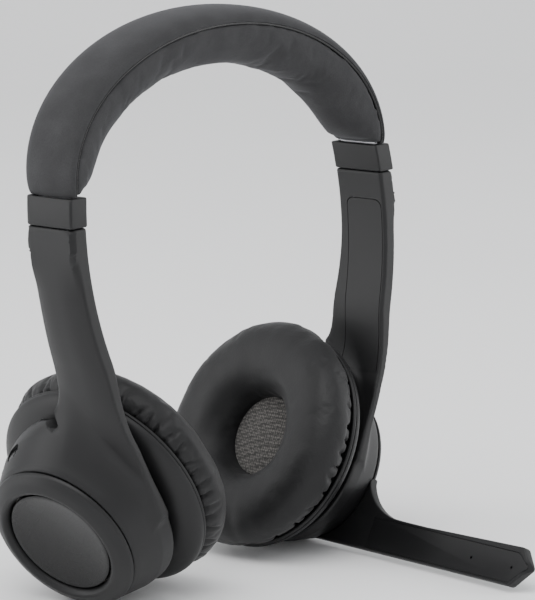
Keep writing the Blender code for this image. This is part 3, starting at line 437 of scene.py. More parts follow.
def rounded(corners, steps=5):
    """An outline of (a, b, radius) corners, each radius drawn as an arc-like curve."""
    points = []
    count = len(corners)
    for i, (a, b, radius) in enumerate(corners):
        here = Vector((a, b))
        if radius <= 0:
            points.append((a, b))
            continue
        before = Vector(corners[i - 1][:2]) - here
        after = Vector(corners[(i + 1) % count][:2]) - here
        reach = min(radius, before.length * 0.49, after.length * 0.49)
        start = here + before.normalized() * reach
        end = here + after.normalized() * reach
        for k in range(steps + 1):
            t = k / steps
            spot = start * (1 - t) ** 2 + here * (2 * t * (1 - t)) + end * t ** 2
            points.append((spot.x, spot.y))
    return points


def slab(outline, low, high, place, soft=0.0):
    """Extrude a flat outline, with its edges softened by a small round."""
    ring = [Vector(point) for point in outline]
    area = sum(p.x * q.y - q.x * p.y for p, q in zip(ring, ring[1:] + ring[:1]))
    side = 1 if area > 0 else -1
    normals = []
    for i, here in enumerate(ring):
        along = ring[(i + 1) % len(ring)] - ring[i - 1]
        normals.append(Vector((-along.y, along.x)).normalized() * side)
    rows = []
    if soft > 0:
        for swing in (0.0, 30.0, 60.0, 90.0):
            turn = math.radians(swing)
            rows.append((soft * (1 - math.sin(turn)), low + soft * (1 - math.cos(turn))))
        rows += [(inset, high + low - level) for inset, level in reversed(rows)]
    else:
        rows = [(0.0, low), (0.0, high)]
    return skin([[place(*(p + q * inset), level) for p, q in zip(ring, normals)] for inset, level in rows])


def settled(made):
    """Apply an object's modifiers to its mesh."""
    bpy.context.view_layer.update()
    graph = bpy.context.evaluated_depsgraph_get()
    fresh = bpy.data.meshes.new_from_object(made.evaluated_get(graph), preserve_all_data_layers=True,
                                            depsgraph=graph)
    old = made.data
    made.modifiers.clear()
    made.data = fresh
    bpy.data.meshes.remove(old)
    return made


def carve(made, tools, operation="DIFFERENCE"):
    """Cut tools out of an object, or join them to it, then throw the tools away."""
    objects = [make_object("tool", mesh, None) for mesh in tools]
    for tool in objects:
        boolean = made.modifiers.new("cut", "BOOLEAN")
        boolean.operation = operation
        boolean.solver = "MANIFOLD"
        boolean.object = tool
    settled(made)
    discard(*objects)
    return made


def remeshed(made, voxel):
    modifier = made.modifiers.new("voxels", "REMESH")
    modifier.mode = "VOXEL"
    modifier.voxel_size = voxel
    return settled(made)


def refined(made):
    modifier = made.modifiers.new("finer", "SUBSURF")
    modifier.levels = 1
    modifier.render_levels = 1
    return settled(made)


def read_points(made):
    flat = np.empty(len(made.data.vertices) * 3)
    made.data.vertices.foreach_get("co", flat)
    return flat.reshape(-1, 3)


def write_points(made, points):
    made.data.vertices.foreach_set("co", points.ravel())
    made.data.update()


def read_normals(made):
    flat = np.empty(len(made.data.vertices) * 3)
    made.data.vertex_normals.foreach_get("vector", flat)
    return flat.reshape(-1, 3)


def mirrored(made, name):
    """The right ear's copy of a left-hand piece."""
    mesh = bmesh.new()
    mesh.from_mesh(made.data)
    for vert in mesh.verts:
        vert.co.x = -vert.co.x
    bmesh.ops.reverse_faces(mesh, faces=mesh.faces)
    data = mesh_data(name, mesh)
    for material in made.data.materials:
        data.materials.append(material)
    return linked(name, data)


def both_sides(made, name):
    """The left-hand piece and its mirror image, by side."""
    return {"left": made, "right": mirrored(made, name + "_right")}


def place_piece(made, body, replaced, sharp=None):
    """Hand a finished piece over: its body, its finish and the solid it stands for."""
    if sharp:
        made.data.shade_smooth()
        made.data.set_sharp_from_angle(angle=math.radians(sharp))
    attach(made, body)
    if replaced:
        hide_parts(*replaced)
    return made


# ---------------------------------------------------------------- soft pads

def puff(made, voxel, held, pressure, grow, cap):
    """Blow a sewn pad up like foam in its cover. held(points) is true where the cover is sewn down."""
    write_points(made, read_points(made) * CLOTH_SCALE)
    remeshed(made, voxel * CLOTH_SCALE)
    start = read_points(made)
    sewn = made.vertex_groups.new(name="sewn")
    sewn.add([int(i) for i in np.nonzero(held(start / CLOTH_SCALE))[0]], 1.0, "REPLACE")
    cloth = made.modifiers.new("cloth", "CLOTH")
    cloth.settings.quality = 5
    cloth.settings.use_pressure = True
    cloth.settings.uniform_pressure_force = pressure
    cloth.settings.shrink_min = -grow
    cloth.settings.vertex_group_mass = "sewn"
    cloth.settings.effector_weights.gravity = 0.0
    cloth.collision_settings.use_collision = False
    scene = bpy.context.scene
    for moment in range(1, 21):
        scene.frame_set(moment)
    settled(made)
    moved = (read_points(made) - start) / CLOTH_SCALE
    length = np.maximum(np.linalg.norm(moved, axis=1, keepdims=True), 1e-9)
    write_points(made, start / CLOTH_SCALE + moved * np.minimum(1.0, cap / length))
    scene.frame_set(1)
    return made


def soft_noise(points, size, seed):
    """Smooth bumps of about this size, from -1 to 1."""
    shift = Vector((seed, seed * 1.7, seed * 0.3))
    return np.array([noise.noise(Vector(point) / size + shift) for point in points])


# ---------------------------------------------------------------- headband

def band_turns(count):
    """Angles along the arch, closer together near the collars."""
    low, high = -BAND_END, PI + BAND_END
    return [low + (high - low) * (1 - math.cos(PI * k / (count - 1))) / 2 for k in range(count)]


def band_half_width(turn):
    return BAND_HALF_WIDTH + BAND_SWELL * max(math.sin(turn), 0.0)


def band_tuck(turn):
    """How far the cover is drawn in where it runs into a collar."""
    run = (min(turn, PI - turn) + BAND_END) * BAND_RISE
    return math.exp(-run / (1.3 * MM))


def pad_depth(turn):
    rise = max(math.sin(turn), 0.0)
    return PAD_END + (PAD_CROWN - PAD_END) * rise ** 0.3 + PAD_SHOULDER * 2.6 * math.sqrt(rise) * (1 - rise)


def cover_ring(turn):
    half = band_half_width(turn) - 0.7 * MM * band_tuck(turn)
    crown = COVER_CROWN + COVER_SWELL * max(math.sin(turn), 0.0) - 0.8 * MM * band_tuck(turn)
    points = [band_point(turn, half - 0.5 * MM, SEAM_GAP)]
    for k in range(41):
        swing = PI * k / 40
        across = half * math.copysign(abs(math.cos(swing)) ** 0.9, math.cos(swing))
        rise = (crown - 0.3 * MM) * abs(math.sin(swing)) ** 0.9
        points.append(band_point(turn, across, SEAM_GAP + 0.3 * MM + rise))
    points.append(band_point(turn, -half + 0.5 * MM, SEAM_GAP))
    return points


def pad_ring(turn):
    half = band_half_width(turn) - 0.7 * MM * band_tuck(turn) - 0.1 * MM
    depth = pad_depth(turn) - 1.0 * MM * band_tuck(turn) - 0.3 * MM
    points = [band_point(turn, half - 0.5 * MM, -SEAM_GAP)]
    for k in range(53):
        swing = PI * k / 52
        across = half * math.copysign(abs(math.cos(swing)) ** 0.75, math.cos(swing))
        fall = (depth - 0.3 * MM) * abs(math.sin(swing)) ** 0.75
        points.append(band_point(turn, across, -SEAM_GAP - 0.3 * MM - fall))
    points.append(band_point(turn, -half + 0.5 * MM, -SEAM_GAP))
    return points


def band_height(points):
    """How far points lie above the seam, and how far from the nearer collar."""
    a = points[:, 0] / BAND_HALF_SPAN
    c = (points[:, 2] - BAND_CENTRE_Z) / BAND_RISE
    reach = np.hypot(a, c)
    slope = np.hypot(a / BAND_HALF_SPAN, c / BAND_RISE) / reach
    turn = np.arctan2(c, np.abs(a))
    return (reach - 1) / slope, (turn + BAND_END) * BAND_RISE


def sewn_band(points):
    height, run = band_height(points)
    return (height > -1.1 * MM) | (run < 1.5 * MM)


def build_band():
    turns = band_turns(170)
    cover = make_object("band_cover_cloth", skin([cover_ring(turn) for turn in turns]), "band_fabric")
    place_piece(cover, "headband", ["band_cover"], sharp=60)
    pad = make_object("band_pad_cloth", skin([pad_ring(turn) for turn in turns]), "band_fabric")
    puff(pad, 1.15 * MM, sewn_band, 4.0, 0.01, 0.7 * MM)
    refined(pad)
    pad.data.shade_smooth()
    points = read_points(pad)
    height, run = band_height(points)
    loose = ease(-height, 1.0 * MM, 5.0 * MM) * ease(run, 2.0 * MM, 9.0 * MM)
    swell = soft_noise(points, 16 * MM, 3.0) * 0.22 * MM + soft_noise(points, 6 * MM, 8.0) * 0.06 * MM
    write_points(pad, points + read_normals(pad) * (swell * loose)[:, None])
    place_piece(pad, "headband", ["band_pad"])
    for name, side in (("front", -1), ("rear", 1)):
        path = []
        for turn in band_turns(120):
            across = band_half_width(turn) - 0.55 * MM - 0.7 * MM * band_tuck(turn)
            path.append(band_point(turn, side * across, 0.0))
        seam = swept_cord("band_seam_" + name, path, 0.42 * MM, "gloss_plastic")
        place_piece(seam, "headband", [])


# ---------------------------------------------------------------- cords along a path

def cord_tree():
    """Geometry Nodes: a round cord along the object's own edges."""
    tree = bpy.data.node_groups.new("cord_along_a_path", "GeometryNodeTree")
    for name, way, kind in (("Geometry", "INPUT", "Geometry"), ("Cord radius", "INPUT", "Float"),
                            ("Sides", "INPUT", "Int"), ("Finish", "INPUT", "Material"),
                            ("Geometry", "OUTPUT", "Geometry")):
        tree.interface.new_socket(name, in_out=way, socket_type="NodeSocket" + kind)
    given = tree.nodes.new("NodeGroupInput").outputs
    path = add_node(tree, "GeometryNodeMeshToCurve", {}, {"Mesh": given["Geometry"]})
    section = add_node(tree, "GeometryNodeCurvePrimitiveCircle", {},
                       {"Resolution": given["Sides"], "Radius": given["Cord radius"]})
    cord = add_node(tree, "GeometryNodeCurveToMesh", {"Fill Caps": True},
                    {"Curve": path.outputs["Curve"], "Profile Curve": section.outputs["Curve"]})
    real = add_node(tree, "GeometryNodeRealizeInstances", {}, {"Geometry": cord.outputs["Mesh"]})
    painted = add_node(tree, "GeometryNodeSetMaterial", {},
                       {"Geometry": real.outputs["Geometry"], "Material": given["Finish"]})
    out = tree.nodes.new("NodeGroupOutput")
    tree.links.new(painted.outputs["Geometry"], out.inputs["Geometry"])
    return tree


def grown(made, tree, values):
    """Run a Geometry Nodes tree on an object and keep the plain mesh."""
    modifier = made.modifiers.new("grow", "NODES")
    modifier.node_group = tree
    inputs = [item for item in tree.interface.items_tree if item.in_out == "INPUT"]
    sockets = {item.name: item.identifier for item in inputs}
    for name, value in values.items():
        modifier[sockets[name]] = value
    return settled(made)


def swept_cord(name, path, radius, material):
    mesh = bmesh.new()
    verts = [mesh.verts.new(point) for point in path]
    for a, b in zip(verts, verts[1:]):
        mesh.edges.new((a, b))
    made = linked(name, mesh_data(name, mesh))
    grown(made, CORD_TREE, {"Cord radius": radius, "Sides": 10, "Finish": MATERIALS[material]})
    made.data.shade_smooth()
    return made


CORD_TREE = cord_tree()


# ---------------------------------------------------------------- collars and arms

def arm_outline(inset, full=False):
    """The arm's section, (across, out), drawn in by inset: crowned, thin in front, deep at the rear."""
    half, low, high = 8.8 * MM, ARM_IN, ARM_OUT
    if full:
        crown = [(half, high), (-half, high)]
    else:
        turns = [1 - k / 10 for k in range(21)]
        crown = [(half * t, high - (1.7 * MM * t ** 3 if t > 0 else 2.3 * MM * (-t) ** 2.2)) for t in turns]
    middle = (low + high) / 2
    wide, thick = 1 - inset / half, 1 - inset / (high - middle)
    return [(a * wide, middle + (b - middle) * thick) for a, b in [(-half, low), (half, low)] + crown]


def collar_outline(inset):
    front, rear, low, high = -8.8 * MM, 8.8 * MM, ARM_IN, ARM_OUT
    corners = [(front + inset, low + inset, 0.6 * MM), (rear - inset, low + inset, 1.2 * MM),
               (rear - inset, high - inset, 2.4 * MM), (front + inset, high - inset, 0.8 * MM)]
    return rounded(corners, 8)


def box_outline(wide, high, middle=0.0):
    """A rectangle of these half sizes."""
    return [(-wide, middle - high), (wide, middle - high), (wide, middle + high), (-wide, middle + high)]


def build_collar():
    """A moulded sleeve with softened rims, a little proud of the cover it holds."""
    rings = []
    height = COLLAR_TOP_Z - COLLAR_LOW_Z
    levels = [(0.0, 0.45), (0.06, 0.22), (0.2, 0.07), (0.45, 0.0)]
    steps = [(down * MM, inset * MM) for down, inset in levels] + [(height / 2, 0.0)]
    steps += [(height - down, inset) for down, inset in reversed(steps[:4])]
    for down, inset in steps:
        centre = arm_centre(COLLAR_TOP_Z - down)
        outline = collar_outline(inset - 0.15 * MM)
        rings.append([centre + Vector((out, across, 0.0)) for across, out in outline])
    collar = make_object("collar_sleeve_left", skin(rings), "satin_plastic")
    middle = (BAND_HALF_SPAN + arm_centre(ARM_TOP_Z).x + 0.4 * MM) / 2 - 0.1 * MM
    tool = slab(box_outline(2.0 * MM, 6.8 * MM), COLLAR_LOW_Z - MM, COLLAR_TOP_Z + MM,
                lambda a, b, c: Vector((middle + a, b + swept(c), c)))
    return carve(collar, [tool])


def cup_coordinates(points):
    away = points - np.array(CUP)
    return away @ np.array(REARWARD), away @ np.array(UPWARD), away @ np.array(OUTWARD)


def outline_distance(a, b, outline):
    """Signed distance from many points to a closed outline, negative inside."""
    best = np.full(a.shape, np.inf)
    inside = np.zeros(a.shape, bool)
    for (a0, b0), (a1, b1) in zip(outline, outline[1:] + outline[:1]):
        run_a, run_b = a1 - a0, b1 - b0
        share = np.clip(((a - a0) * run_a + (b - b0) * run_b) / (run_a ** 2 + run_b ** 2), 0.0, 1.0)
        best = np.minimum(best, (a - a0 - share * run_a) ** 2 + (b - b0 - share * run_b) ** 2)
        spans = (b0 <= b) != (b1 <= b)
        inside ^= spans & (a < a0 + (b - b0) * run_a / (run_b if run_b else 1.0))
    return np.sqrt(best) * np.where(inside, -1.0, 1.0)


def housing_outline():
    half = [(RING_R - 0.3 * MM, 0.0), (RING_R, -0.3 * MM), (RING_R + 0.7 * MM, -1.6 * MM),
            (HOUSING_R - 0.9 * MM, -9.0 * MM), (HOUSING_R - 0.2 * MM, -12.4 * MM), (HOUSING_R, -13.6 * MM),
            (HOUSING_R - 0.3 * MM, -HOUSING_DEEP)]
    return half + [(-r, n) for r, n in reversed(half)]


HOUSING_OUTLINE = housing_outline()
ARM_OUTLINE = arm_outline(ARM_SOFT)
ARM_OUTLINE_TOP = arm_outline(ARM_SOFT, full=True)
ROOT_MID = cup_coordinates(np.array([arm_centre(ARM_BEND_Z)]))[2][0]


def arm_flare(along):
    """The rear edge spreads on its way down to the housing."""
    return ARM_FLARE * ease(along, 8 * MM, 52 * MM)


def arm_distance(points):
    """Rough signed distance to the arm: a bent bar that turns into a thinner tongue over the cup."""
    x = points[:, 0] - (ARM_WIDEST_X - ARM_RADIUS)
    down = ARM_WIDEST_Z - points[:, 2]
    past = down * math.cos(CUP_TILT) - x * math.sin(CUP_TILT)
    straight = x * math.cos(CUP_TILT) + down * math.sin(CUP_TILT)
    level = np.where(past > 0, straight, np.hypot(x, down)) - ARM_RADIUS
    u, v, n = cup_coordinates(points)
    joined = ease(past, -6 * MM, 12 * MM)
    level = (1 - joined) * level + joined * (n - ROOT_MID)
    inner, outer = arm_faces(v)
    stretch = (outer - inner) / (ARM_OUT - ARM_IN)
    out = ARM_IN + (level - inner) / stretch
    across = points[:, 1] - swept(points[:, 2])
    widen = 1 + arm_flare(down) / ARM_HALF_WIDTH
    across = np.where(across > 0, across / widen, across)
    thinned = ease(ARM_TOP_Z - points[:, 2], 7 * MM, 20 * MM)
    distance = (1 - thinned) * outline_distance(across, out, ARM_OUTLINE_TOP)
    distance += thinned * outline_distance(across, out, ARM_OUTLINE)
    distance = (distance - ARM_SOFT) * np.minimum(stretch, 1.0)
    distance = np.maximum(distance, 3 * MM - v)
    distance = blend_max(distance, -u - HOUSING_R + 0.2 * MM, 1.0 * MM)
    return blend_max(distance, points[:, 2] - ARM_TOP_Z, 0.9 * MM)


def blend_max(a, b, reach):
    share = np.maximum(reach - np.abs(a - b), 0.0) / reach
    return np.maximum(a, b) + share * share * reach / 4


def blend_min(a, b, reach):
    share = np.maximum(reach - np.abs(a - b), 0.0) / reach
    return np.minimum(a, b) - share * share * reach / 4


def body_distance(points):
    """The arm flowing into its housing: a wide sweep at the rear, a tight one along the front."""
    u, v, n = cup_coordinates(points)
    cup = outline_distance(np.hypot(u, v), n, HOUSING_OUTLINE)
    reach = 4.0 * MM + 12.0 * MM * ease(u, -25 * MM, -6 * MM)
    whole = blend_min(arm_distance(points), cup, reach)
    whole = blend_max(whole, n + 0.05 * MM, 0.4 * MM)
    mouth = -HOUSING_DEEP - 9 * MM * ease(v, 20 * MM, 46 * MM) - 70 * MM * ease(v, 40 * MM, 90 * MM)
    return blend_max(whole, mouth - n, 1.4 * MM)


def drawn_to(points, distance, rounds, limit=0.8 * MM):
    """Move points onto the surface where distance is zero."""
    step = 0.04 * MM
    for _ in range(rounds):
        here = distance(points)
        slope = np.empty_like(points)
        for axis in range(3):
            nudge = np.zeros(3)
            nudge[axis] = step
            slope[:, axis] = (distance(points + nudge) - distance(points - nudge)) / (2 * step)
        size = np.maximum((slope ** 2).sum(1), 0.2)
        move = -(here / size)[:, None] * slope
        length = np.maximum(np.linalg.norm(move, axis=1, keepdims=True), 1e-12)
        points = points + move * np.minimum(1.0, limit / length)
    return points


def arm_faces(v):
    """Levels of the arm's inner and outer face; both move outward over the cup."""
    share = ease(-v, *ROOT_RAMP)
    inner = ARM_IN + (0.3 * MM - HOUSING_DEEP - ROOT_MID - ARM_IN) * share
    outer = ARM_OUT + (ROOT_FACE_N - ROOT_MID - ARM_OUT) * share
    return inner, outer


def arm_frame(z):
    """The section's centre, the way out of the arm's face, and the height over the cup."""
    centre = arm_centre(z)
    lean = math.asin(min((ARM_WIDEST_Z - z) / ARM_RADIUS, 0.99))
    out = Vector((math.cos(lean), 0.0, -math.sin(lean)))
    return centre, out, float(cup_coordinates(np.array([centre]))[1][0])


def rough_ring(z, v, placed):
    inner, outer = arm_faces(v)
    widen = 1 + arm_flare(ARM_WIDEST_Z - z) / ARM_HALF_WIDTH
    ring = []
    for across, out in arm_outline(0.2 * MM):
        level = inner + (out - ARM_IN) * (outer - inner) / (ARM_OUT - ARM_IN)
        ring.append(placed(across * widen if across > 0 else across, level))
    return ring


def rough_arm():
    """A coarse bar along the arm's line and down over the cup, to start from."""
    rings = []
    for k in range(14):
        z = ARM_TOP_Z - 0.1 * MM + (ARM_BEND_Z + 2 * MM - ARM_TOP_Z) * k / 13
        centre, out, v = arm_frame(z)
        rings.append(rough_ring(z, v, lambda across, level: centre + ACROSS * across + out * level))
    for k in range(9):
        v = 34 * MM - 28 * MM * k / 8

        def placed(across, level):
            n = ROOT_MID + level
            z = CUP.z + UPWARD.z * v + OUTWARD.z * n
            y = swept(z) + across
            return cup_point((y - CUP.y - UPWARD.y * v - OUTWARD.y * n) / REARWARD.y, v, n)
        rings.append(rough_ring(CUP.z + UPWARD.z * v + OUTWARD.z * ROOT_MID, v, placed))
    return skin(rings)


def panel_rings(margin, deep):
    """The plate set into the arm's inner face, round-cornered at its top, down to the housing."""
    top_z = ARM_TOP_Z - 8.5 * MM
    corner = 2.4 * MM
    front, rear = -ARM_HALF_WIDTH + PANEL_EDGE - margin, 5.6 * MM + margin
    length = top_z - ARM_BEND_Z + 7 * MM
    rings = []
    for k in range(40):
        drop = corner * (k / 8) ** 2 if k < 8 else corner + (length - corner) * (k - 8) / 31
        short = corner - math.sqrt(max(corner ** 2 - (corner - min(drop, corner)) ** 2, 0.0))
        centre, out, v = arm_frame(top_z + margin - drop)
        face = float(arm_faces(v)[0])
        steps = [(rear - front - 2 * short) * j / 12 for j in range(13)]
        ring = [centre + ACROSS * (front + short + step) + out * (face - 3 * MM) for step in steps]
        ring += [centre + ACROSS * (rear - short - step) + out * (face + deep) for step in steps]
        rings.append(ring)
    return rings


SLIDE_AXIS = Vector(JOINTS["arm_slide_left"]["axis"])
SLIDE_ACROSS = SLIDE_AXIS.cross(ACROSS).normalized()
BLADE_FOOT = arm_centre(ARM_TOP_Z) + Vector((0.4 * MM, 0.0, 0.0))


def blade_box(half_wide, half_thick, high):
    return slab(box_outline(half_wide, half_thick), -MM, high,
                lambda a, b, c: BLADE_FOOT + ACROSS * a + SLIDE_AXIS * c + SLIDE_ACROSS * b)


def cavity_mesh():
    inner = HOUSING_R - WALL
    deep = -HOUSING_DEEP - 8 * MM
    return turned([(0.0, deep), (inner, deep), (inner, -HOUSING_DEEP), (RING_R - WALL, -3.0 * MM),
                   (RING_R - WALL - MM, -2.0 * MM), (0.0, -2.0 * MM)], cup_point, 96)


def seat_mesh():
    """The round step in the housing's face that carries washer and ring."""
    inner, outer = CAP_R + 0.2 * MM, RING_R - 0.5 * MM
    return turned([(inner, -MM), (outer, -MM), (outer, 2 * MM), (inner, 2 * MM)], cup_point, 96)


def build_arm_body():
    """The left arm with its housing; the right one is its mirror image, with the controls cut in."""
    whole = make_object("arm_body_left", rough_arm(), "satin_plastic")
    wall = HOUSING_OUTLINE[:7][::-1]
    carve(whole, [turned([(0.0, -HOUSING_DEEP)] + wall + [(0.0, 0.0)], cup_point, 64)], "UNION")
    remeshed(whole, 0.8 * MM)
    write_points(whole, drawn_to(read_points(whole), body_distance, 16, 0.4 * MM))
    refined(whole)
    write_points(whole, drawn_to(read_points(whole), body_distance, 3, 0.3 * MM))
    panel = linked("arm_panel_left", whole.data.copy())
    carve(panel, [skin(panel_rings(0.0, PANEL_THICK))], "INTERSECT")
    carve(whole, [skin(panel_rings(PANEL_LINE, PANEL_THICK + 0.2 * MM)), cavity_mesh(), seat_mesh()])
    carve(whole, [blade_box(5.3 * MM, 0.9 * MM, 38 * MM), blade_box(6.6 * MM, 2.2 * MM, 6.3 * MM)])
    return whole, panel


def wall_place(angle):
    """On the housing's wall: along the rim, along the cup's axis, and straight out of the wall."""
    turn = math.radians(angle)
    slope = math.atan2(HOUSING_R - RING_R, HOUSING_DEEP)
    radius = RING_R - (HOUSING_R - RING_R) * CONTROL_N / HOUSING_DEEP

    def place(a, b, c):
        reach = radius + c * math.cos(slope) - b * math.sin(slope)
        n = CONTROL_N + b * math.cos(slope) + c * math.sin(slope)
        u = math.cos(turn) * reach - math.sin(turn) * a
        return cup_point(u, math.sin(turn) * reach + math.cos(turn) * a, n)
    return place


def circle(radius, sides):
    turns = [2 * PI * k / sides for k in range(sides)]
    return [(radius * math.cos(turn), radius * math.sin(turn)) for turn in turns]


def pill(wide, high, radius, grow=0.0):
    a, b, r = wide / 2 + grow, high / 2 + grow, radius + grow
    return rounded([(a, -b, r), (a, b, r), (-a, b, r), (-a, -b, r)], 6)


CONTROLS = {
    # name: (body, angle round the cup, width, height, corner, travel along the rim)
    "volume_up_button": ("volume_up", 56.0, 6.4 * MM, 3.4 * MM, 1.6 * MM, 0.0),
    "call_button": ("call_key", 38.0, 5.0 * MM, 3.4 * MM, 1.6 * MM, 0.0),
    "volume_down_button": ("volume_down", 20.0, 6.4 * MM, 3.4 * MM, 1.6 * MM, 0.0),
    "power_switch": ("power_slide", -21.0, 3.6 * MM, 2.6 * MM, 1.2 * MM, 2.0 * MM),
}


def control_holes():
    """Openings in the housing's rear wall for the keys, the switch, the light and the socket."""
    tools = []
    for _, angle, wide, high, corner, travel in CONTROLS.values():
        place = wall_place(angle)
        tools.append(slab(pill(wide + travel, high, corner, 0.25 * MM), -5 * MM, 3 * MM,
                          lambda a, b, c, place=place, shift=travel / 2: place(a - shift, b, c)))
    light = pill(1.6 * MM, 1.6 * MM, 0.8 * MM, 0.1 * MM)
    socket = pill(9.4 * MM, 3.6 * MM, 1.8 * MM, 0.2 * MM)
    tools.append(slab(light, -5 * MM, 3 * MM, wall_place(LIGHT_ANGLE)))
    tools.append(slab(socket, -8 * MM, 3 * MM, wall_place(SOCKET_ANGLE)))
    return tools


def build_controls():
    """Keys with softened rims; plus and minus ridges on the two volume keys."""
    for node, (body, angle, wide, high, corner, _) in CONTROLS.items():
        place = wall_place(angle)
        key = make_object(node + "_cap", slab(pill(wide, high, corner), -2.4 * MM, 0.7 * MM, place, 0.4 * MM),
                          "gloss_plastic")
        bars = []
        if node.startswith("volume"):
            bars.append(slab(pill(2.0 * MM, 0.45 * MM, 0.2 * MM), 0.4 * MM, 0.86 * MM, place, 0.1 * MM))
        if node == "volume_up_button":
            bars.append(slab(pill(0.45 * MM, 2.0 * MM, 0.2 * MM), 0.4 * MM, 0.86 * MM, place, 0.1 * MM))
        if node == "power_switch":
            bars += [slab(pill(0.35 * MM, 1.6 * MM, 0.15 * MM), 0.4 * MM, 0.9 * MM,
                          lambda a, b, c, x=x * MM: place(a + x, b, c)) for x in (-0.9, 0.0, 0.9)]
        if bars:
            carve(key, bars, "UNION")
        place_piece(mirrored(key, node + "_key"), body, [node], sharp=40)
        discard(key)


def build_arms():
    whole, panel = build_arm_body()
    shells = both_sides(whole, "arm_body")
    plates = both_sides(panel, "arm_panel")
    sleeves = both_sides(build_collar(), "collar_sleeve")
    spares = []
    for tool in control_holes():
        hole = make_object("hole", tool, None)
        turned_over = mirrored(hole, "hole_right")
        boolean = shells["right"].modifiers.new("cut", "BOOLEAN")
        boolean.solver = "MANIFOLD"
        boolean.object = turned_over
        spares += [hole, turned_over]
    settled(shells["right"])
    discard(*spares)
    for side in ("left", "right"):
        for made, body, stands_for in ((shells[side], "arm_" + side, "arm_shell_"),
                                       (plates[side], "arm_" + side, "arm_inner_cover_"),
                                       (sleeves[side], "headband", "collar_")):
            place_piece(made, body, [stands_for + side], sharp=38)


# ---------------------------------------------------------------- cup fronts

def bezel_mesh():
    """The ring round the cap: steep outside, a soft crest, and a lip that falls to the cap."""
    corners = [(CAP_R + 0.5 * MM, 0.3 * MM, 0.1 * MM), (RING_R, 0.3 * MM, 0.35 * MM),
               (RING_R - 0.25 * MM, 1.4 * MM, 0.8 * MM), (RING_R - 2.4 * MM, 3.1 * MM, 1.6 * MM),
               (LIP_R + 0.7 * MM, RING_HIGH, 0.9 * MM), (LIP_R, RING_HIGH - 0.1 * MM, 0.3 * MM),
               (LIP_R - 0.8 * MM, RING_HIGH - 0.9 * MM, 0.6 * MM), (CAP_R + 0.5 * MM, 1.9 * MM, 0.3 * MM)]
    return turned(rounded(corners, 6), cup_point)


def cap_mesh():
    """A dished disc that falls away from its rim in one even sweep."""
    edge = RING_HIGH - 1.4 * MM
    outline = [(0.0, 0.3 * MM), (CAP_R - 0.3 * MM, 0.3 * MM), (CAP_R, 0.6 * MM), (CAP_R, edge - 0.4 * MM),
               (CAP_R - 0.12 * MM, edge - 0.12 * MM), (CAP_R - 0.4 * MM, edge)]
    rim = CAP_R - 0.7 * MM
    outline += [(rim * (1 - k / 18), edge - CAP_DISH * (1 - (1 - k / 18) ** 2.0)) for k in range(18)]
    return turned(outline + [(0.0, edge - CAP_DISH)], cup_point)


def build_cup_fronts():
    caps = both_sides(make_object("cap_dish_left", cap_mesh(), "gloss_plastic"), "cap_dish")
    bezel = make_object("bezel_left", bezel_mesh(), "satin_plastic")
    ring = mirrored(bezel, "bezel_ring_right")
    place_piece(caps["right"], "arm_right", ["cup_cap_right"], sharp=40)
    place_piece(ring, "arm_right", ["outer_ring_right"], sharp=50)
    place_piece(caps["left"], "arm_left", ["cup_cap_left"], sharp=40)
    discard(bezel)


# ---------------------------------------------------------------- ear modules

def bowl_level(r):
    """The bowl's back, deepest on the axis and steep near its rim."""
    return SHELL_MOUTH_N + (SHELL_BACK_N - SHELL_MOUTH_N) * math.sqrt(max(1 - (r / SHELL_R) ** 3, 0.0))


def bowl_mesh():
    outline = [(0.0, SHELL_BACK_N)]
    for k in range(1, 49):
        r = SHELL_R * math.sin(PI / 2 * k / 48)
        outline.append((r, bowl_level(r)))
    outline += [(SHELL_R - inset, SHELL_MOUTH_N - 0.15 * MM) for inset in (0.15 * MM, 1.4 * MM)]
    for k in range(24, 0, -1):
        r = (SHELL_R - 1.6 * MM) * math.sin(PI / 2 * k / 24)
        outline.append((r, bowl_level(r) - 1.5 * MM * (1 - 0.6 * k / 24)))
    return turned(outline + [(0.0, SHELL_BACK_N - 1.5 * MM)], module_point)


def rim_mesh():
    middle = SHELL_R - 0.6 * MM
    level = SHELL_MOUTH_N - 0.85 * MM
    return turned([(middle + 0.65 * MM * math.cos(PI * k / 8), level + 0.62 * MM * math.sin(PI * k / 8))
                   for k in range(16)], module_point)


def cushion_outline():
    """A plump ring: sewn in at its hem, fullest half way up, falling steeply into the throat."""
    outer, throat = [], []
    foot = CUSHION_CREST_N + 8.2 * MM
    for k in range(17):
        swing = PI / 2 * k / 16
        outer.append((CREST_R + 1.6 * MM + (CUSHION_R - CREST_R - 1.6 * MM) * abs(math.cos(swing)) ** 0.9,
                      CUSHION_CREST_N + (foot - CUSHION_CREST_N) * (1 - abs(math.sin(swing)) ** 0.9)))
    for k in range(1, 17):
        swing = PI / 2 * k / 16
        throat.append((CREST_R - 1.6 * MM - (CREST_R - 1.6 * MM - CUSHION_HOLE_R) * math.sin(swing),
                       CUSHION_CREST_N + 9.4 * MM * (1 - math.cos(swing))))
    hem = [(CUSHION_HOLE_R, CUSHION_BACK_N), (CUSHION_R - 2.6 * MM, CUSHION_BACK_N),
           (CUSHION_R - 1.5 * MM, CUSHION_BACK_N - 0.5 * MM),
           (CUSHION_R - 0.5 * MM, CUSHION_BACK_N - 2.2 * MM)]
    return hem + outer + throat


def module_coordinates(points):
    u, v, n = cup_coordinates(points)
    return u, v - MODULE_LIFT, n


def sewn_cushion(points):
    u, v, n = module_coordinates(points)
    r = np.hypot(u, v)
    return (n > CUSHION_BACK_N - 1.1 * MM) | ((r < CUSHION_HOLE_R + 1.0 * MM) & (n > CUSHION_BACK_N - 4 * MM))


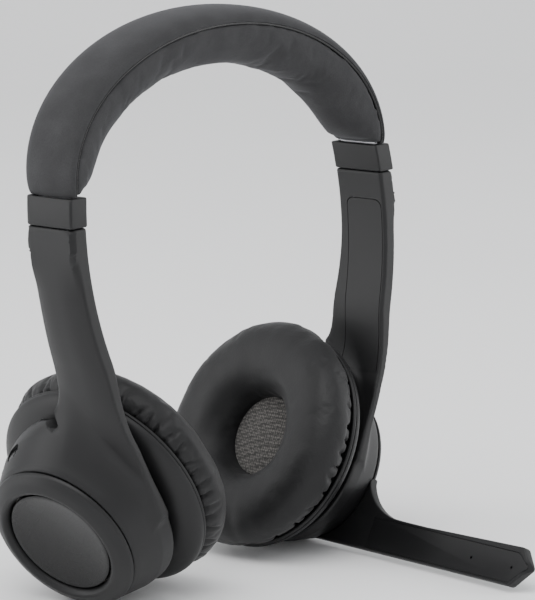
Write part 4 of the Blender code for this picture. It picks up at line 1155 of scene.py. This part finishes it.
def gathers(points, seed):
    """Depth of the puckers where the cover is gathered into its hem, and of the folds above them."""
    u, v, n = module_coordinates(points)
    turn = np.arctan2(v, u)
    up = CUSHION_BACK_N - n
    r = np.hypot(u, v)
    side = ease(r, CREST_R + 4 * MM, CUSHION_R - 3 * MM)
    chance = random.Random(seed)
    depth = np.zeros(len(points))
    angle = 0.0
    while angle < 2 * PI:
        away = (turn - angle + PI) % (2 * PI) - PI
        width = chance.uniform(0.45, 0.8) * MM
        reach = chance.uniform(3.6, 6.4) * MM
        lean = chance.uniform(-0.05, 0.05) * up / (4 * MM)
        groove = np.exp(-((away + lean) * CUSHION_R / width) ** 2)
        fade = ease(-up, -reach, -reach * 0.35)
        depth += groove * fade * side * chance.uniform(0.7, 1.4) * MM
        angle += chance.uniform(3.4, 5.8) * MM / CUSHION_R
    for _ in range(9):
        angle = chance.uniform(0, 2 * PI)
        away = (turn - angle + PI) % (2 * PI) - PI
        long_fold = np.exp(-(away * r / (2.6 * MM)) ** 2) * ease(r, CREST_R - 4 * MM, CREST_R + 6 * MM)
        depth += long_fold * chance.uniform(0.12, 0.4) * MM
    return depth


def build_cushion(side):
    seed = CUSHION_SEEDS[side]
    pad = make_object("ear_pad_" + side, turned(cushion_outline(), module_point, 120), "leatherette")
    puff(pad, 0.95 * MM, sewn_cushion, 5.0, 0.03, 1.0 * MM)
    refined(pad)
    points = read_points(pad)
    free = ease(-module_coordinates(points)[2], -CUSHION_BACK_N + 0.6 * MM, -CUSHION_BACK_N + 3 * MM)
    dents = soft_noise(points, 11 * MM, seed) * 0.35 * MM + soft_noise(points, 4.5 * MM, seed + 5) * 0.1 * MM
    move = dents * free - gathers(points, seed)
    write_points(pad, points + read_normals(pad) * move[:, None])
    pad.data.shade_smooth()
    if side == "right":
        other = mirrored(pad, "ear_pad_wrap_right")
        discard(pad)
        pad = other
    place_piece(pad, "ear_" + side, ["ear_cushion_" + side])


def scrim_mesh():
    """Speaker cloth stretched over a thin foam disc, a little domed."""
    radius = CUSHION_HOLE_R - 0.3 * MM
    outline = [(0.0, SCRIM_N), (radius, SCRIM_N), (radius, SCRIM_N - 0.5 * MM)]
    for k in range(12):
        share = 1 - k / 12
        outline.append((radius * share, SCRIM_N - 0.6 * MM - 0.7 * MM * (1 - share ** 2)))
    return turned(outline + [(0.0, SCRIM_N - 1.3 * MM)], module_point, 72)


def gimbal_posts():
    """The two posts with pins that the bowl hangs from."""
    tools = []
    top = 1.6 * MM
    foot = SHELL_BACK_N - 0.9 * MM - GIMBAL_N
    post = box_outline(1.8 * MM, (top - foot) / 2, (top + foot) / 2)
    for sign in (-1, 1):
        place = lambda a, b, c, sign=sign: cup_point(a, sign * c, GIMBAL_N + b)
        tools.append(slab(post, 15.5 * MM, 17.5 * MM, place))
        tools.append(slab(circle(0.9 * MM, 24), 16.5 * MM, 20.0 * MM, place))
    return tools


def build_modules():
    bowl = make_object("speaker_bowl_left", bowl_mesh(), "satin_plastic")
    carve(bowl, gimbal_posts(), "UNION")
    bowls = both_sides(bowl, "speaker_bowl")
    rims = both_sides(make_object("rim_piping_left", rim_mesh(), "satin_plastic"), "rim_piping")
    cloths = both_sides(make_object("speaker_cloth_left", scrim_mesh(), "scrim_mesh"), "speaker_cloth")
    for side in ("left", "right"):
        ear = "ear_" + side
        place_piece(bowls[side], ear, ["speaker_shell_" + side], sharp=40)
        place_piece(rims[side], ear, ["rim_ring_" + side])
        place_piece(cloths[side], ear, ["speaker_scrim_" + side], sharp=40)
        build_cushion(side)


# ---------------------------------------------------------------- boom

def boom_outline(inset=0.0):
    """The blade from its blunt slanted tip to the sweep up into the ring."""
    low = -BOOM_LOW + inset
    high = -BOOM_LOW + 2 * BOOM_HALF_WIDTH - inset
    tip = -BOOM_REACH + inset
    sweep = 14.0 * MM
    corners = [(tip + 6.0 * MM, low, 1.2 * MM), (tip, high + inset - 4.4 * MM, 1.0 * MM),
               (tip + 4.4 * MM, high + (1.0 * MM if inset == 0 else 0.0), 0.9 * MM)]
    points = rounded(corners + [(-42 * MM, high, 0.0)], 6)[:-1]
    if inset:
        return points + [(-38 * MM, high), (-30.5 * MM, high), (-30.5 * MM, low)]
    points += [(-40 * MM - 12 * MM * (1 - k / 4), high) for k in range(4)]
    for turn in [PI / 2 * k / 12 for k in range(1, 11)]:
        points.append((-40 * MM + sweep * 1.2 * math.sin(turn), high + sweep * (1 - math.cos(turn))))
    return points + [(-RING_R + 3.5 * MM, -4 * MM), (-16 * MM, -14 * MM), (-3 * MM, -19 * MM), (0.0, low)]


def build_boom():
    boom = make_object("boom_body", bezel_mesh(), "satin_plastic")
    blade = slab(boom_outline(), BOOM_IN_N, BOOM_OUT_N, cup_point, 0.45 * MM)
    clear = turned([(0.0, -HOUSING_DEEP), (HOUSING_R + 0.4 * MM, -HOUSING_DEEP),
                    (RING_R + 1.0 * MM, -1.6 * MM), (RING_R + 0.4 * MM, 0.25 * MM), (0.0, 0.25 * MM)],
                   cup_point, 96)
    carve(boom, [blade], "UNION")
    carve(boom, [clear])
    bevel = [(-BOOM_REACH - MM, BOOM_IN_N - MM), (-BOOM_REACH + 3.6 * MM, BOOM_IN_N - MM),
             (-BOOM_REACH - 0.2 * MM, BOOM_OUT_N - 0.3 * MM), (-BOOM_REACH - MM, BOOM_OUT_N - 0.3 * MM)]
    carve(boom, [slab(bevel, -30 * MM, 0.0, lambda a, b, c: cup_point(a, c, b))])
    deep = BOOM_IN_N + 0.5 * MM
    inset = 0.9 * MM
    carve(boom, [slab(boom_outline(inset - 0.1 * MM), BOOM_IN_N - MM, deep + 0.1 * MM, cup_point)])
    panel = slab(boom_outline(inset), BOOM_IN_N + 0.02 * MM, deep, cup_point, 0.12 * MM)
    plate = make_object("boom_panel", panel, "satin_plastic")
    middle = -BOOM_LOW + BOOM_HALF_WIDTH
    carve(plate, [slab(circle(MIC_HOLE_R, 20), BOOM_IN_N - MM, deep + MM,
                       lambda a, b, c, x=x: cup_point(x + a, middle + b, c)) for x in MIC_PLACES])
    place_piece(boom, "boom", ["boom_arm"], sharp=38)
    place_piece(plate, "boom", ["boom_inner_cover"], sharp=38)


# ---------------------------------------------------------------- studio

def build_studio():
    """A pale floor that curves up behind, under large soft lamps."""
    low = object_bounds()[0].z - 0.05 * MM
    reach, run, bend = 3.0, 1.2, 0.8
    rows = [(-reach, 0.0), (run, 0.0)]
    for turn in [PI / 2 * k / 12 for k in range(1, 13)]:
        rows.append((run + bend * math.sin(turn), bend * (1 - math.cos(turn))))
    rows.append((run + bend, 4.0))
    heading = Vector((-VIEW_BACK.x, -VIEW_BACK.y, 0.0)).normalized()
    aside = Vector((heading.y, -heading.x, 0.0)) * reach
    mesh = bmesh.new()
    edges = []
    for edge in (-aside, aside):
        edges.append([mesh.verts.new(heading * along + edge + Vector((0, 0, low + up)))
                      for along, up in rows])
    left, right = edges
    for i in range(len(rows) - 1):
        mesh.faces.new((left[i], right[i], right[i + 1], left[i + 1]))
    data = mesh_data("floor", mesh)
    data.shade_smooth()
    material, tree, shader, place = start_material("painted_studio_floor", {"Roughness": 0.8})
    shade = add_node(tree, "ShaderNodeTexNoise", {"Scale": 3.0}, {"Vector": place})
    tree.links.new(tint(tree, shade.outputs["Fac"], "#f4f4f4", "#fafafa"), shader.inputs["Base Color"])
    data.materials.append(material)
    linked("floor", data)


def add_lamp(name, from_point, aim, size, watts):
    data = bpy.data.lights.new(name, "AREA")
    data.shape = "RECTANGLE"
    data.size = size[0]
    data.size_y = size[1]
    data.energy = watts
    lamp = linked(name, data)
    lamp.location = from_point
    lamp.rotation_euler = (Vector(aim) - Vector(from_point)).to_track_quat("-Z", "Y").to_euler()


VIEW_AZIMUTH = math.radians(-48.05)
VIEW_ELEVATION = math.radians(10.44)
VIEW_ROLL = math.radians(-1.23)
VIEW_TARGET = Vector((4.41, -18.13, -67.14)) * MM
VIEW_DISTANCE = 944.44 * MM
VIEW_LENS = 199.28
VIEW_BACK = Vector((math.sin(VIEW_AZIMUTH) * math.cos(VIEW_ELEVATION),
                    -math.cos(VIEW_AZIMUTH) * math.cos(VIEW_ELEVATION), math.sin(VIEW_ELEVATION)))
VIEW_RIGHT = Vector((math.cos(VIEW_AZIMUTH), math.sin(VIEW_AZIMUTH), 0.0))


def build_camera():
    up = VIEW_BACK.cross(VIEW_RIGHT)
    right = VIEW_RIGHT * math.cos(VIEW_ROLL) + up * math.sin(VIEW_ROLL)
    top = up * math.cos(VIEW_ROLL) - VIEW_RIGHT * math.sin(VIEW_ROLL)
    data = bpy.data.cameras.new("camera")
    data.sensor_fit = "VERTICAL"
    data.sensor_height = 36.0
    data.lens = VIEW_LENS
    data.clip_start = 0.05
    camera = linked("camera", data)
    turn = Matrix((right, top, VIEW_BACK)).transposed().to_4x4()
    camera.matrix_world = Matrix.Translation(VIEW_TARGET + VIEW_BACK * VIEW_DISTANCE) @ turn
    bpy.context.scene.camera = camera


def build_light():
    world = bpy.data.worlds.new("studio")
    world.use_nodes = True
    back = world.node_tree.nodes["Background"]
    back.inputs["Color"].default_value = linear("#f2f3f5")
    back.inputs["Strength"].default_value = 1.15
    bpy.context.scene.world = world
    up = Vector((0, 0, 1))
    forward = Vector((VIEW_BACK.x, VIEW_BACK.y, 0)).normalized()
    aim = Vector((0, 0, -70 * MM))
    add_lamp("key", aim + forward * 0.5 + up * 1.1 - VIEW_RIGHT * 0.2, aim, (1.1, 0.8), 11.0)
    add_lamp("left_strip", aim + forward * 0.1 - VIEW_RIGHT * 1.0 + up * 0.25, aim, (0.5, 1.2), 5.0)
    add_lamp("right_strip", aim - forward * 0.1 + VIEW_RIGHT * 1.0 + up * 0.2, aim, (0.4, 1.2), 4.0)


# ---------------------------------------------------------------- the whole headset

for subpart in frame["record"]["subparts"]:
    node = frame["nodes"][subpart["node"]]
    node.data.materials.clear()
    node.data.materials.append(MATERIALS[subpart["material_slot"]])

build_band()
build_arms()
build_cup_fronts()
build_modules()
build_boom()
build_controls()
build_studio()
build_camera()
build_light()
